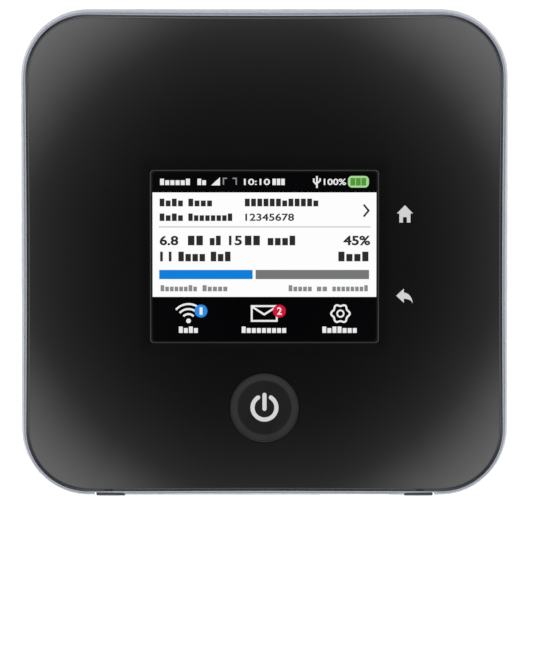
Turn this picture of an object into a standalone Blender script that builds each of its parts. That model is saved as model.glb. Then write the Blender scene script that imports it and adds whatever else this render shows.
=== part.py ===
"""Mobile hotspot: a flat rounded-square box with a small colour display, a round power key,
two touch keys, a row of sockets behind rubber flaps and a removable battery under the base.

Frame: +Z up, the display faces +Z, the sockets face -Y, and z = 0 is the table it stands on.
Sizes are in millimetres. MM turns them into metres where a mesh is made.
"""

import math

import bmesh
import bpy

MM = 0.001

# Overall shape
WIDTH = 105.5
DEPTH = 105.5
CORNER_RADIUS = 14.5
ARC_STEPS = 6
SIDE_STEPS = 8
RINGS = (0.9, 0.76, 0.6, 0.42, 0.22, 0.05)  # shares of the plan at which a curved face has a ring of points

# Heights of the case's curved faces
TOP_CROWN = 1.35
CORNER_DROP = 2.7
DROP_BEND = 1.6  # above 1, the edge falls less in the middle of a side and more towards the corner
DROP_SHARPNESS = 5  # how closely the fall keeps to the edge
EDGE_BASE = 2.0
CORNER_LIFT = 2.2
LIFT_START = 0.2
LIFT_RANGE = 0.65
LIFT_SHARPNESS = 12
BASE_STRIP = 1.2
BASE_CROWN = 0.3

# Fits between neighbours
GAP = 0.3
FINE_GAP = 0.15
THROUGH = 4.0

# Side band
BAND_WIDEST = 0.49
BAND_TOP_INSET = 0.7
BAND_BASE_INSET = 0.8
BAND_LIP = 0.5
BAND_WALL = 2.5
BAND_TOP_STEP = 1.7
BAND_BASE_STEP = 1.3
BAND_PINCH = 0.3

# Cover, window and keys
COVER_WALL = 1.3
WINDOW_RISE = 1.23  # how far the crown lifts the cover over a corner of the window
WINDOW_WIDTH = 49.4
WINDOW_DEPTH = 37.4
WINDOW_Y = -0.5
WINDOW_RADIUS = 0.8
POWER_Y = -33.16
POWER_RADIUS = 7.45
POWER_DISH = 5.9
POWER_DISH_DEEP = 0.35
POWER_FLANGE = 1.0
POWER_TRAVEL = 0.4
GLYPH_RADIUS = 2.58
GLYPH_STROKE = 1.0
GLYPH_BAR_LONG = 4.0
GLYPH_BAR_UP = 1.25
GLYPH_OPEN = 32.0
GLYPH_DEEP = 0.5
TOUCH_X = 30.25
HOME_Y = 8.7
BACK_Y = -9.15

# Battery door, feet and battery
DOOR_WALL = 1.2
DOOR_LIP = 0.7
CLIP_LONG = 6.0
CLIP_THICK = 1.0
CLIP_TOP = 5.2
CLIP_IN = 5.65
CLIP_ALONG = 22.0
FOOT_RADIUS = 4.5
FOOT_X = 34.0
FOOT_Y = 34.0
FOOT_HIGH = 0.8
FOOT_SUNK = 0.35
BATTERY_WIDE = 70.0
BATTERY_LONG = 72.0
BATTERY_THICK = 5.2
BATTERY_BASE = 2.45
CONTACT_DOWN = 1.75  # from the top of the battery to the middle of its contacts
BATTERY_X = 4.0
BATTERY_Y = 4.0
BAY_SPACE = 0.6

# Lower housing, board and chassis
FRAME_WALL = 1.2
DECK_THICK = 0.6
SHIELD_HIGH = 2.5
SPREADER_THICK = 0.55
BOARD_THICK = 1.0
BOARD_INSET = 5.4
CHASSIS_WALL = 1.8
CHASSIS_THICK = 0.9
SIDE_POCKET_FLOOR = 3.8
SCREW_X = 43.0
SCREW_Y = 43.0
SCREW_HEAD_RADIUS = 1.9
SCREW_HEAD_HIGH = 1.1
SCREW_RADIUS = 0.8
SCREW_HEAD_SEAT = 6.4
SCREW_SHORT = 0.9
BOSS_RADIUS = 2.3

# Sockets in the front
USB_A_X = -21.5
USB_A_UP = -0.85
USB_A_WINDOW = (13.8, 6.7)
USB_A_SHELL = (13.2, 5.8)
USB_A_DEEP = 13.4
USB_C_X = 0.0
USB_C_UP = 1.65
USB_C_WINDOW = (9.8, 3.9)
USB_C_SHELL = (8.94, 3.2)
USB_C_DEEP = 9.0
METAL_SHELL = 0.35
SOCKET_SUNK = 0.85
LAN_X = 19.6
LAN_UP = 0.25
LAN_WINDOW = (14.7, 12.1)
LAN_SHIELD = (16.2, 12.6)
LAN_DEEP = 14.4
LAN_CAVITY_WIDE = 11.9
LAN_CAVITY_HIGH = 7.0
LAN_CAVITY_UP = 4.6
LAN_CAVITY_DEEP = 11.6
LAN_NOTCH_WIDE = 6.3
LAN_NOTCH_DOWN = 5.1
LAN_PITCH = 1.016
LAN_CONTACTS = 8

# Antenna sockets and their flaps
AERIAL_X = 33.5
AERIAL_UP = 3.55
AERIAL_HOLE = 2.65
AERIAL_SLEEVE = 2.4
AERIAL_BARREL = 1.75
AERIAL_BORE = 1.2
AERIAL_PIN = 0.55
AERIAL_BLOCK = 5.0
CHANNEL_WIDE = 6.9
CHANNEL_FLOOR = 1.0
FLAP_THICK = 1.2
FLAP_WIDE = 6.3
FLAP_TIP_WIDE = 5.8
FLAP_TIP_RADIUS = 1.0
FLAP_HINGE_DOWN = 4.5
FLAP_LONG = 8.6

# Display module
LCD_WIDE = 54.4
LCD_DEEP = 43.4
LCD_Y = -1.15
LCD_RIM = 2.7
LCD_TRAY = 0.9
LCD_GLASS = 1.7
GASKET_WIDE = 2.0
GASKET_THICK = 0.73
KEY_BOARD_THICK = 0.8
KEY_BOARD_UP = 0.4
KEY_RIBBON_Y = -36.4
KEY_RIBBON_THICK = 0.3
KEY_RIBBON_HALF = 4.0

HALF_X = WIDTH / 2
HALF_Y = DEPTH / 2
SEAM_INSET = BAND_TOP_INSET + BAND_LIP
COVER_INSET = SEAM_INSET + GAP
DOOR_INSET = BAND_BASE_INSET + BAND_LIP + GAP
FRAME_INSET = BAND_WALL + GAP
SEAM_X = HALF_X - COVER_INSET
SEAM_Y = HALF_Y - COVER_INSET
SEAM_CORNER = (CORNER_RADIUS - COVER_INSET) * (1 - math.sqrt(0.5))
SQUARENESS = 1 / math.log2(1 / (1 - SEAM_CORNER / min(SEAM_X, SEAM_Y)))
BATTERY_TOP = BATTERY_BASE + BATTERY_THICK
CONTACT_Z = BATTERY_TOP - CONTACT_DOWN
DECK_BASE = BATTERY_TOP + GAP
DECK_TOP = DECK_BASE + DECK_THICK
BOARD_BASE = DECK_TOP + GAP
BOARD_TOP = BOARD_BASE + BOARD_THICK
RIM_TOP = BOARD_TOP + SHIELD_HIGH + GAP + SPREADER_THICK
CHASSIS_BASE = RIM_TOP + GAP
CHASSIS_TOP = CHASSIS_BASE + CHASSIS_THICK
SCREW_END = CHASSIS_BASE - SCREW_SHORT
LCD_BASE = CHASSIS_TOP + GAP
LCD_GLASS_BASE = LCD_BASE + LCD_TRAY + GAP
GASKET_BASE = LCD_GLASS_BASE + LCD_GLASS + GAP
EDGE_TOP = GASKET_BASE + GASKET_THICK + GAP + COVER_WALL - WINDOW_RISE
KEY_BOARD_BASE = CHASSIS_TOP + KEY_BOARD_UP
KEY_BOARD_TOP = KEY_BOARD_BASE + KEY_BOARD_THICK
USB_A_Z = BOARD_TOP + USB_A_UP
USB_C_Z = BOARD_TOP + USB_C_UP
LAN_Z = BOARD_TOP + LAN_UP
LAN_CAVITY_TOP = LAN_Z + LAN_CAVITY_UP
LAN_NOTCH_BASE = LAN_Z - LAN_NOTCH_DOWN
SOCKET_ZONE_FLOOR = LAN_Z - LAN_SHIELD[1] / 2 - GAP
AERIAL_Z = BOARD_TOP + AERIAL_UP
FLAP_HINGE_Z = AERIAL_Z - FLAP_HINGE_DOWN
CHANNEL_TOP = FLAP_HINGE_Z + FLAP_LONG + GAP - 0.05
FRONT = -HALF_Y
BAND_INSIDE = FRONT + BAND_WALL
SIDES = (("left", -1), ("right", 1))
CORNERS = (("front_left", -1, -1), ("front_right", 1, -1), ("back_left", -1, 1), ("back_right", 1, 1))


# Curved faces of the case

def smooth_step(value):
    value = min(max(value, 0.0), 1.0)
    return value * value * (3 - 2 * value)


def spread(x, y):
    """0 at the middle of the plan, 1 on its outline."""
    total = abs(x / SEAM_X) ** SQUARENESS + abs(y / SEAM_Y) ** SQUARENESS
    return total ** (1 / SQUARENESS)


def slant(x, y):
    """0 towards the middle of a side, 1 towards a corner."""
    low, high = sorted((abs(x / SEAM_X), abs(y / SEAM_Y)))
    return low / high if high else 0.0


def dome(x, y):
    return max(1 - (x / SEAM_X) ** 4, 0) * max(1 - (y / SEAM_Y) ** 4, 0)


def top_z(x, y):
    """Outer face of the cover. It also gives the height of the upper seam."""
    drop = CORNER_DROP * smooth_step(slant(x, y) ** DROP_BEND) * spread(x, y) ** DROP_SHARPNESS
    return EDGE_TOP + TOP_CROWN * dome(x, y) - drop


def base_seam_z(x, y):
    """Height of the lower seam, carried inwards over the base."""
    lift = CORNER_LIFT * smooth_step((slant(x, y) - LIFT_START) / LIFT_RANGE) * spread(x, y) ** LIFT_SHARPNESS
    return EDGE_BASE + lift


def door_z(x, y):
    """Outer, lower face of the battery door."""
    return base_seam_z(x, y) - BASE_STRIP - BASE_CROWN * dome(x, y)


def door_inside(x, y):
    return door_z(x, y) + DOOR_WALL


def frame_base(x, y):
    return door_inside(x, y) + GAP


def cover_inside(x, y):
    return top_z(x, y) - COVER_WALL


def level(height):
    return lambda x, y: height


# Outlines in plan

def plan(inset, pinch=0.0):
    """The rounded-square outline, inset from the widest line, its sides pinched in at their middles."""
    half_x, half_y, radius = HALF_X - inset, HALF_Y - inset, CORNER_RADIUS - inset
    inwards = ((0, -1), (1, 0), (0, 1), (-1, 0))
    corners = []
    for turn, (side_x, side_y) in enumerate(((1, 1), (-1, 1), (-1, -1), (1, -1))):
        middle_x, middle_y = side_x * (half_x - radius), side_y * (half_y - radius)
        angles = [math.radians(90 * (turn + step / ARC_STEPS)) for step in range(ARC_STEPS + 1)]
        corners.append([(middle_x + radius * math.cos(a), middle_y + radius * math.sin(a)) for a in angles])
    points = []
    for turn, corner in enumerate(corners):
        points += corner
        (x0, y0), (x1, y1) = corner[-1], corners[(turn + 1) % 4][0]
        in_x, in_y = inwards[turn]
        for step in range(1, SIDE_STEPS):
            share = step / SIDE_STEPS
            deep = pinch * (1 - (2 * share - 1) ** 2)
            points.append((x0 + (x1 - x0) * share + in_x * deep, y0 + (y1 - y0) * share + in_y * deep))
    return points


def rounded(wide, high, radius, steps=4, middle=(0.0, 0.0)):
    """A rounded rectangle about middle."""
    radius = min(max(radius, 0.05), wide / 2 - 0.001, high / 2 - 0.001)
    points = []
    for turn, (side_x, side_y) in enumerate(((1, 1), (-1, 1), (-1, -1), (1, -1))):
        for step in range(steps + 1):
            angle = math.radians(90 * (turn + step / steps))
            x = middle[0] + side_x * (wide / 2 - radius) + radius * math.cos(angle)
            y = middle[1] + side_y * (high / 2 - radius) + radius * math.sin(angle)
            points.append((x, y))
    return points


def circle(radius, steps=24, middle=(0.0, 0.0)):
    angles = [2 * math.pi * step / steps for step in range(steps)]
    return [(middle[0] + radius * math.cos(a), middle[1] + radius * math.sin(a)) for a in angles]


# Solids

def loft(rings, wrapped=False):
    """Skin over rings of equal length, capped at both ends or wrapped round on itself."""
    bm = bmesh.new()
    lines = [[bm.verts.new(point) for point in ring] for ring in rings]
    pairs = list(zip(lines, lines[1:]))
    if wrapped:
        pairs.append((lines[-1], lines[0]))
    for low, high in pairs:
        for i in range(len(low)):
            j = (i + 1) % len(low)
            bm.faces.new((low[i], low[j], high[j], high[i]))
    if not wrapped:
        bm.faces.new(lines[0])
        bm.faces.new(lines[-1])
    bmesh.ops.recalc_face_normals(bm, faces=bm.faces)
    return bm


def raised(points, height):
    """Plan points lifted to height(x, y)."""
    return [(x, y, height(x, y)) for x, y in points]


def shrunk(points, share, middle=(0.0, 0.0)):
    return [(middle[0] + (x - middle[0]) * share, middle[1] + (y - middle[1]) * share) for x, y in points]


def plate(points, floor, roof, middle=(0.0, 0.0), rings=RINGS):
    """A closed plate over a plan outline, its faces following floor(x, y) and roof(x, y)."""
    under = [raised(shrunk(points, share, middle), floor) for share in reversed(rings)]
    over = [raised(shrunk(points, share, middle), roof) for share in rings]
    return loft(under + [raised(points, floor), raised(points, roof)] + over)


def upright(points, low, high):
    """A plan outline extruded up Z."""
    return loft([[(x, y, low) for x, y in points], [(x, y, high) for x, y in points]])


def inward(points, near, far):
    """An outline of (x, z) extruded along Y."""
    return loft([[(x, near, z) for x, z in points], [(x, far, z) for x, z in points]])


def sideways(points, low, high):
    """An outline of (y, z) extruded along X."""
    return loft([[(low, y, z) for y, z in points], [(high, y, z) for y, z in points]])


def block(x, y, z):
    """A box from its three (low, high) ranges."""
    return upright(((x[0], y[0]), (x[1], y[0]), (x[1], y[1]), (x[0], y[1])), *z)


def turned(profile, middle, axis="z", steps=24):
    """(radius, along) points turned about the Z or Y line through middle."""
    rings = []
    for radius, along in profile:
        ring = circle(radius, steps)
        if axis == "z":
            rings.append([(middle[0] + a, middle[1] + b, along) for a, b in ring])
        else:
            rings.append([(middle[0] + a, along, middle[1] + b) for a, b in ring])
    return loft(rings)


# Objects

MATERIALS = {}


def material(name, colour, roughness, metallic=0.0):
    if name not in MATERIALS:
        made = bpy.data.materials.new(name)
        made.use_nodes = True
        shader = made.node_tree.nodes["Principled BSDF"]
        shader.inputs["Base Color"].default_value = (*colour, 1.0)
        shader.inputs["Roughness"].default_value = roughness
        shader.inputs["Metallic"].default_value = metallic
        MATERIALS[name] = made
    return MATERIALS[name]


BLACK_COVER = ("black_cover", (0.012, 0.012, 0.013), 0.35)
GLASS = ("window_glass", (0.005, 0.005, 0.006), 0.05)
BAND_PAINT = ("band_paint", (0.33, 0.35, 0.38), 0.32, 0.8)
DARK_PLASTIC = ("dark_plastic", (0.03, 0.03, 0.033), 0.5)
GREY_PLASTIC = ("grey_plastic", (0.2, 0.21, 0.22), 0.45)
RUBBER = ("rubber", (0.02, 0.02, 0.022), 0.75)
WHITE_INLAY = ("white_inlay", (0.8, 0.8, 0.8), 0.4)
BOARD_GREEN = ("board_green", (0.01, 0.08, 0.04), 0.45)
TINPLATE = ("tinplate", (0.6, 0.6, 0.6), 0.3, 1.0)
STEEL = ("steel", (0.5, 0.5, 0.5), 0.35, 1.0)
GOLD = ("gold_plate", (0.8, 0.55, 0.2), 0.25, 1.0)
GRAPHITE = ("graphite", (0.05, 0.05, 0.05), 0.6, 0.3)
MAGNESIUM = ("cast_magnesium", (0.35, 0.35, 0.36), 0.5, 0.9)
POLYIMIDE = ("polyimide", (0.35, 0.13, 0.02), 0.4)
LCD_PICTURE = ("lcd_glass", (0.02, 0.02, 0.025), 0.1)
BATTERY_WRAP = ("battery_wrap", (0.06, 0.06, 0.065), 0.5)


def as_object(name, bm, origin=(0.0, 0.0, 0.0)):
    mesh = bpy.data.meshes.new(name)
    for vertex in bm.verts:
        vertex.co = [(at - start) * MM for at, start in zip(vertex.co, origin)]
    bm.to_mesh(mesh)
    bm.free()
    made = bpy.data.objects.new(name, mesh)
    made.location = [at * MM for at in origin]
    bpy.context.scene.collection.objects.link(made)
    return made


def node(name, bm, finish, origin=(0.0, 0.0, 0.0), smooth=False):
    made = as_object(name, bm, origin)
    made.data.materials.append(material(*finish))
    if smooth:
        made.data.shade_smooth()
        made.data.set_sharp_from_angle(angle=math.radians(35))
    return made


def helper(name, bm):
    """A shape that only cuts or joins others."""
    made = as_object(name, bm)
    made.hide_render = True
    made.display_type = "WIRE"
    return made


def combine(target, operation, *others):
    for other in others:
        step = target.modifiers.new(other.name, "BOOLEAN")
        step.operation = operation
        step.solver = "EXACT"
        step.object = other


def cut(target, *cutters):
    combine(target, "DIFFERENCE", *cutters)


def join(target, *additions):
    combine(target, "UNION", *additions)


# Case

def band_ring(inset, pinch, height):
    return [(x, y, height(a, b)) for (x, y), (a, b) in zip(plan(inset, pinch), plan(COVER_INSET))]


def make_side_band(socket_cuts):
    """Crowned ring with a lip round the cover above and round the battery door below."""
    rings = []
    for share in (0.0, 0.16, 0.33, 0.49, 0.66, 0.83, 1.0):
        if share < BAND_WIDEST:
            inset, pinch = BAND_BASE_INSET * (1 - share / BAND_WIDEST) ** 2, 0.0
        else:
            bend = ((share - BAND_WIDEST) / (1 - BAND_WIDEST)) ** 2
            inset, pinch = BAND_TOP_INSET * bend, BAND_PINCH * bend
        rings.append(band_ring(inset, pinch, lambda a, b, s=share: top_z(a, b) * s + base_seam_z(a, b) * (1 - s)))

    def step_z(a, b):
        return top_z(a, b) - BAND_TOP_STEP

    def ledge_z(a, b):
        return base_seam_z(a, b) + BAND_BASE_STEP

    base_lip = BAND_BASE_INSET + BAND_LIP
    rings += [
        band_ring(SEAM_INSET, BAND_PINCH, top_z),
        band_ring(SEAM_INSET, BAND_PINCH, step_z),
        band_ring(BAND_WALL, 0.0, step_z),
        band_ring(BAND_WALL, 0.0, ledge_z),
        band_ring(base_lip, 0.0, ledge_z),
        band_ring(base_lip, 0.0, base_seam_z),
    ]
    band = node("side_band", loft(rings, wrapped=True), BAND_PAINT, smooth=True)
    cut(band, *socket_cuts)


def window_cut(name, clearance):
    outline = rounded(WINDOW_WIDTH + 2 * clearance, WINDOW_DEPTH + 2 * clearance, WINDOW_RADIUS + clearance,
                      middle=(0.0, WINDOW_Y))
    return helper(name, upright(outline, cover_inside(0, 0) - THROUGH, top_z(0, 0) + THROUGH))


def house(margin):
    """Outline of the home sign, grown by margin: pitched roof, walls and a doorway."""
    wide, high, eave, wall, door = 1.75, 1.87, 0.1, 1.2, 0.42
    side = [(door - margin, -high - margin), (wall + margin, -high - margin), (wall + margin, eave - margin)]
    side += [(wide + 2 * margin, eave - margin), (0.0, high + 1.4 * margin)]
    left = [(-x, y) for x, y in reversed(side[:-1])]
    doorway = [(-door + margin, -0.7 - margin), (door - margin, -0.7 - margin)]
    return side + left + doorway


def back_arrow(margin):
    """Outline of the return sign, grown by margin: a head that points left and a tail that curls down."""
    neck, tail, foot = -0.2, 1.9, -1.6
    outer, inner = [], []
    for step in range(1, 6):
        bend = math.radians(90 * step / 5)
        x = neck + tail * math.sin(bend) + margin * step / 5
        outer.append((x, foot - margin + (2.45 + 2 * margin) * math.cos(bend)))
        inner.append((x - 2 * margin * step / 5, foot - margin + 1.15 * math.cos(bend)))
    side = neck + margin
    head = [(side, 0.85 + margin), (side, 1.75 + 2 * margin), (neck - 1.65 - 1.4 * margin, 0.2),
            (side, -1.35 - 2 * margin), (side, -0.45 - margin)]
    return outer[::-1] + head + inner[:-1]


def moved(points, x, y):
    return [(a + x, b + y) for a, b in points]


def make_top_cover():
    """Moulded lid in one sweep, with openings for the window, the power key and the two lit signs."""
    cover = node("top_cover", plate(plan(COVER_INSET, BAND_PINCH), cover_inside, top_z), BLACK_COVER, smooth=True)
    hole = turned(((POWER_RADIUS + GAP, 10.0), (POWER_RADIUS + GAP, 30.0)), (0.0, POWER_Y), steps=48)
    home = upright(moved(house(FINE_GAP), TOUCH_X, HOME_Y), 10.0, 30.0)
    back = upright(moved(back_arrow(FINE_GAP), TOUCH_X, BACK_Y), 10.0, 30.0)
    cut(cover, window_cut("window_opening", GAP), helper("power_opening", hole))
    cut(cover, helper("home_opening", home), helper("back_opening", back))


def make_display_window():
    outline = rounded(WINDOW_WIDTH, WINDOW_DEPTH, WINDOW_RADIUS, middle=(0.0, WINDOW_Y))
    middle = (0.0, WINDOW_Y)
    node("display_window", plate(outline, cover_inside, top_z, middle, (0.8, 0.5, 0.1)), GLASS, smooth=True)


def make_touch_lenses(board_top):
    """Light guides that stand on the key board and end flush in the cover."""
    for name, outline, y in (("home_key_lens", house(0.0), HOME_Y), ("back_key_lens", back_arrow(0.0), BACK_Y)):
        shape = upright(moved(outline, TOUCH_X, y), board_top + GAP, top_z(TOUCH_X, y))
        node(name, shape, WHITE_INLAY)


def glyph_ring(clearance, low, high):
    """The open ring of the power sign, with round ends."""
    reach = GLYPH_STROKE / 2 + clearance
    start, stop = 90 + GLYPH_OPEN, 450 - GLYPH_OPEN
    steps = 24
    angles = [math.radians(start + (stop - start) * step / steps) for step in range(steps + 1)]
    inner = [((GLYPH_RADIUS - reach) * math.cos(a), (GLYPH_RADIUS - reach) * math.sin(a)) for a in angles]
    outer = [((GLYPH_RADIUS + reach) * math.cos(a), (GLYPH_RADIUS + reach) * math.sin(a)) for a in angles]

    def end(angle, first):
        middle = (GLYPH_RADIUS * math.cos(angle), GLYPH_RADIUS * math.sin(angle))
        bends = [first + math.pi * step / 6 for step in range(1, 6)]
        return [(middle[0] + reach * math.cos(b), middle[1] + reach * math.sin(b)) for b in bends]

    outline = outer + end(angles[-1], angles[-1]) + inner[::-1] + end(angles[0], angles[0] + math.pi)
    return upright(moved(outline, 0.0, POWER_Y), low, high)


def glyph_bar(clearance, low, high):
    wide, long = GLYPH_STROKE + 2 * clearance, GLYPH_BAR_LONG + 2 * clearance
    return upright(rounded(wide, long, wide / 2, middle=(0.0, POWER_Y + GLYPH_BAR_UP)), low, high)


def make_power_key(switch_top):
    """Round cap with a shallow dish, caught under the cover by its flange, and its white sign."""
    top = top_z(0.0, POWER_Y)
    dish = top - POWER_DISH_DEEP
    flange_top = cover_inside(0.0, POWER_Y - POWER_RADIUS - POWER_FLANGE) - GAP
    base = flange_top - 0.5
    profile = (
        (POWER_RADIUS + POWER_FLANGE, base),
        (POWER_RADIUS + POWER_FLANGE, flange_top),
        (POWER_RADIUS, flange_top),
        (POWER_RADIUS, top - 0.25),
        (POWER_RADIUS - 0.2, top),
        (POWER_RADIUS - 0.5, top),
        (POWER_DISH + 0.25, dish + 0.1),
        (POWER_DISH, dish),
    )
    cap = node("power_button", turned(profile, (0.0, POWER_Y), steps=48), BLACK_COVER, smooth=True)
    groove = (dish - GLYPH_DEEP, dish + THROUGH)
    cut(cap, helper("ring_groove", glyph_ring(0.1, *groove)), helper("bar_groove", glyph_bar(0.1, *groove)))
    inlay = (dish - GLYPH_DEEP + 0.1, dish)
    node("power_ring_inlay", glyph_ring(0.0, *inlay), WHITE_INLAY)
    node("power_bar_inlay", glyph_bar(0.0, *inlay), WHITE_INLAY)
    plunger = ((1.1, switch_top - 0.3), (1.1, base - GAP))
    node("power_switch_plunger", turned(plunger, (0.0, POWER_Y), steps=20), DARK_PLASTIC, smooth=True)


# Display module and key board

def make_display_module():
    """Backlight tray with the display glass in it, a foam gasket up to the window, and the ribbon behind."""
    middle = (0.0, LCD_Y)
    tray = node("lcd_backlight", upright(rounded(LCD_WIDE, LCD_DEEP, 1.0, 2, middle), LCD_BASE, LCD_BASE + LCD_RIM),
                TINPLATE)
    pocket = rounded(LCD_WIDE - 2 * LCD_TRAY, LCD_DEEP - 2 * LCD_TRAY, 0.6, 2, middle)
    cut(tray, helper("lcd_pocket", upright(pocket, LCD_BASE + LCD_TRAY, LCD_BASE + LCD_RIM + THROUGH)))
    glass = shrunk(pocket, 1 - 2 * GAP / LCD_DEEP, middle)
    node("lcd_panel", upright(glass, LCD_GLASS_BASE, LCD_GLASS_BASE + LCD_GLASS), LCD_PICTURE)
    gasket_top = GASKET_BASE + GASKET_THICK
    ring = upright(rounded(LCD_WIDE - 1.6, LCD_DEEP - 1.6, 1.0, 2, middle), GASKET_BASE, gasket_top)
    gasket = node("lcd_gasket", ring, RUBBER)
    inner = rounded(LCD_WIDE - 1.6 - 2 * GASKET_WIDE, LCD_DEEP - 1.6 - 2 * GASKET_WIDE, 0.5, 2, middle)
    cut(gasket, helper("gasket_opening", upright(inner, GASKET_BASE - 1, gasket_top + 1)))
    back = LCD_Y + LCD_DEEP / 2 + GAP
    foot = BOARD_TOP + GAP
    ribbon = ((back, LCD_BASE + 0.2), (back + 4.0, LCD_BASE + 0.2), (back + 4.0, foot), (back + 4.3, foot),
              (back + 4.3, LCD_BASE + 0.5), (back, LCD_BASE + 0.5))
    node("lcd_ribbon", sideways(ribbon, -6.0, 6.0), POLYIMIDE)
    return back + 4.0


def make_key_board(base, top):
    """L-shaped board under the power key and the touch keys, with the power switch and the ribbon to the main board."""
    inner_y = LCD_Y - LCD_DEEP / 2 - GAP - 0.4
    inner_x = LCD_WIDE / 2 + GAP + 0.3
    outline = ((-9.0, POWER_Y - 7.0), (9.0, POWER_Y - 7.0), (9.0, inner_y - 5.0), (inner_x + 6.6, inner_y - 5.0),
               (inner_x + 6.6, HOME_Y + 4.0), (inner_x, HOME_Y + 4.0), (inner_x, inner_y), (-9.0, inner_y))
    node("key_board", upright(outline, base, top), BOARD_GREEN)
    switch_base, switch_top = top + GAP, top + GAP + 1.1
    body = node("power_switch", block((-2.5, 2.5), (POWER_Y - 2.5, POWER_Y + 2.5), (switch_base, switch_top)), TINPLATE)
    bore = turned(((1.3, switch_base + 0.3), (1.3, switch_top + 1)), (0.0, POWER_Y), steps=20)
    cut(body, helper("power_switch_bore", bore))
    ribbon = block((-KEY_RIBBON_HALF, KEY_RIBBON_HALF), (KEY_RIBBON_Y, KEY_RIBBON_Y + KEY_RIBBON_THICK),
                   (BOARD_TOP + GAP, base - GAP))
    node("key_ribbon", ribbon, POLYIMIDE)
    return switch_top


# Sockets

def socket_outline(x, z, size, radius, clearance=0.0, steps=4):
    return rounded(size[0] + 2 * clearance, size[1] + 2 * clearance, radius + clearance, steps, (x, z))


def make_usb(name, x, z, size, radius, deep, tongue, finish=TINPLATE):
    """Drawn metal shell, closed behind, with a moulded block and tongue inside."""
    front = FRONT + SOCKET_SUNK
    steps = 6 if radius > 1 else 3
    outer = socket_outline(x, z, size, radius, 0.0, steps)
    inner = socket_outline(x, z, size, radius, -METAL_SHELL, steps)
    rings = [[(a, y, b) for a, b in line] for line, y in
             ((outer, front + deep), (outer, front), (inner, front), (inner, front + deep - METAL_SHELL))]
    node(name + "_shell", loft(rings), finish, smooth=True)
    behind = front + deep - METAL_SHELL - FINE_GAP
    wide, low, high, long = tongue
    core = socket_outline(x, z, size, radius, -METAL_SHELL - FINE_GAP, steps)
    body = node(name + "_tongue", inward(core, behind - 2.0, behind), DARK_PLASTIC)
    blade = block((x - wide / 2, x + wide / 2), (behind - long, behind - 1.0), (low, high))
    join(body, helper(name + "_blade", blade))


def make_lan_jack():
    """Network jack: folded shield, moulded housing with its latch notch, and a comb of eight contacts."""
    front = BAND_INSIDE + GAP
    back = front + LAN_DEEP
    wide, high = LAN_SHIELD
    outer = socket_outline(LAN_X, LAN_Z, LAN_SHIELD, 0.4, 0.0, 1)
    inner = socket_outline(LAN_X, LAN_Z, LAN_SHIELD, 0.4, -METAL_SHELL, 1)
    rings = [[(a, y, b) for a, b in line] for line, y in
             ((outer, back), (outer, front), (inner, front), (inner, back - METAL_SHELL))]
    node("lan_jack_shield", loft(rings), TINPLATE)
    core = socket_outline(LAN_X, LAN_Z, LAN_SHIELD, 0.4, -METAL_SHELL - FINE_GAP, 1)
    housing = node("lan_jack_housing", inward(core, front, back - METAL_SHELL - FINE_GAP), DARK_PLASTIC)
    half = LAN_CAVITY_WIDE / 2
    cavity_base = LAN_CAVITY_TOP - LAN_CAVITY_HIGH
    notch = LAN_NOTCH_WIDE / 2
    mouth = ((LAN_X + half, LAN_CAVITY_TOP), (LAN_X - half, LAN_CAVITY_TOP), (LAN_X - half, cavity_base),
             (LAN_X - notch, cavity_base), (LAN_X - notch, LAN_NOTCH_BASE), (LAN_X + notch, LAN_NOTCH_BASE),
             (LAN_X + notch, cavity_base), (LAN_X + half, cavity_base))
    cavity_end = front + LAN_CAVITY_DEEP
    cut(housing, helper("lan_cavity", inward(mouth, front - 2, cavity_end)))
    reach = LAN_PITCH * (LAN_CONTACTS - 1) / 2
    bar = block((LAN_X - reach - 0.5, LAN_X + reach + 0.5), (cavity_end - GAP - 0.8, cavity_end - GAP),
                (LAN_CAVITY_TOP - 2.3, LAN_CAVITY_TOP - GAP))
    comb = node("lan_contacts", bar, GOLD)
    for index in range(LAN_CONTACTS):
        x = LAN_X - reach + LAN_PITCH * index
        wire = block((x - 0.22, x + 0.22), (front + 2.0, cavity_end - GAP - 0.4),
                     (LAN_CAVITY_TOP - 2.1, LAN_CAVITY_TOP - 1.7))
        join(comb, helper(f"lan_wire_{index + 1}", wire))


def make_aerial_socket(side, x):
    """Coaxial socket: black sleeve in the wall, gold barrel on a block, and its centre contact."""
    floor = FRONT + CHANNEL_FLOOR
    middle = (x, AERIAL_Z)
    sleeve = ((AERIAL_SLEEVE, floor + 3.0), (AERIAL_SLEEVE, floor + FINE_GAP),
              (AERIAL_BARREL + FINE_GAP, floor + FINE_GAP), (AERIAL_BARREL + FINE_GAP, floor + 3.0))
    rings = [[(x + a, along, AERIAL_Z + b) for a, b in circle(radius)] for radius, along in sleeve]
    node(f"{side}_aerial_sleeve", loft(rings, wrapped=True), DARK_PLASTIC, smooth=True)
    barrel = ((AERIAL_BARREL, floor + 7.0), (AERIAL_BARREL, floor + 0.5), (AERIAL_BORE, floor + 0.5),
              (AERIAL_BORE, floor + 5.0))
    body = node(f"{side}_aerial_socket", turned(barrel, middle, "y"), GOLD, smooth=True)
    half = AERIAL_BLOCK / 2
    base = block((x - half, x + half), (floor + 5.6, floor + 5.6 + AERIAL_BLOCK), (BOARD_TOP + GAP, AERIAL_Z + half))
    join(body, helper(f"{side}_aerial_block", base))
    pin = ((AERIAL_PIN, floor + 4.8), (AERIAL_PIN, floor + 1.2), (AERIAL_PIN * 0.55, floor + 1.2),
           (AERIAL_PIN * 0.55, floor + 2.6))
    node(f"{side}_aerial_contact", turned(pin, middle, "y", 16), GOLD, smooth=True)


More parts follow.
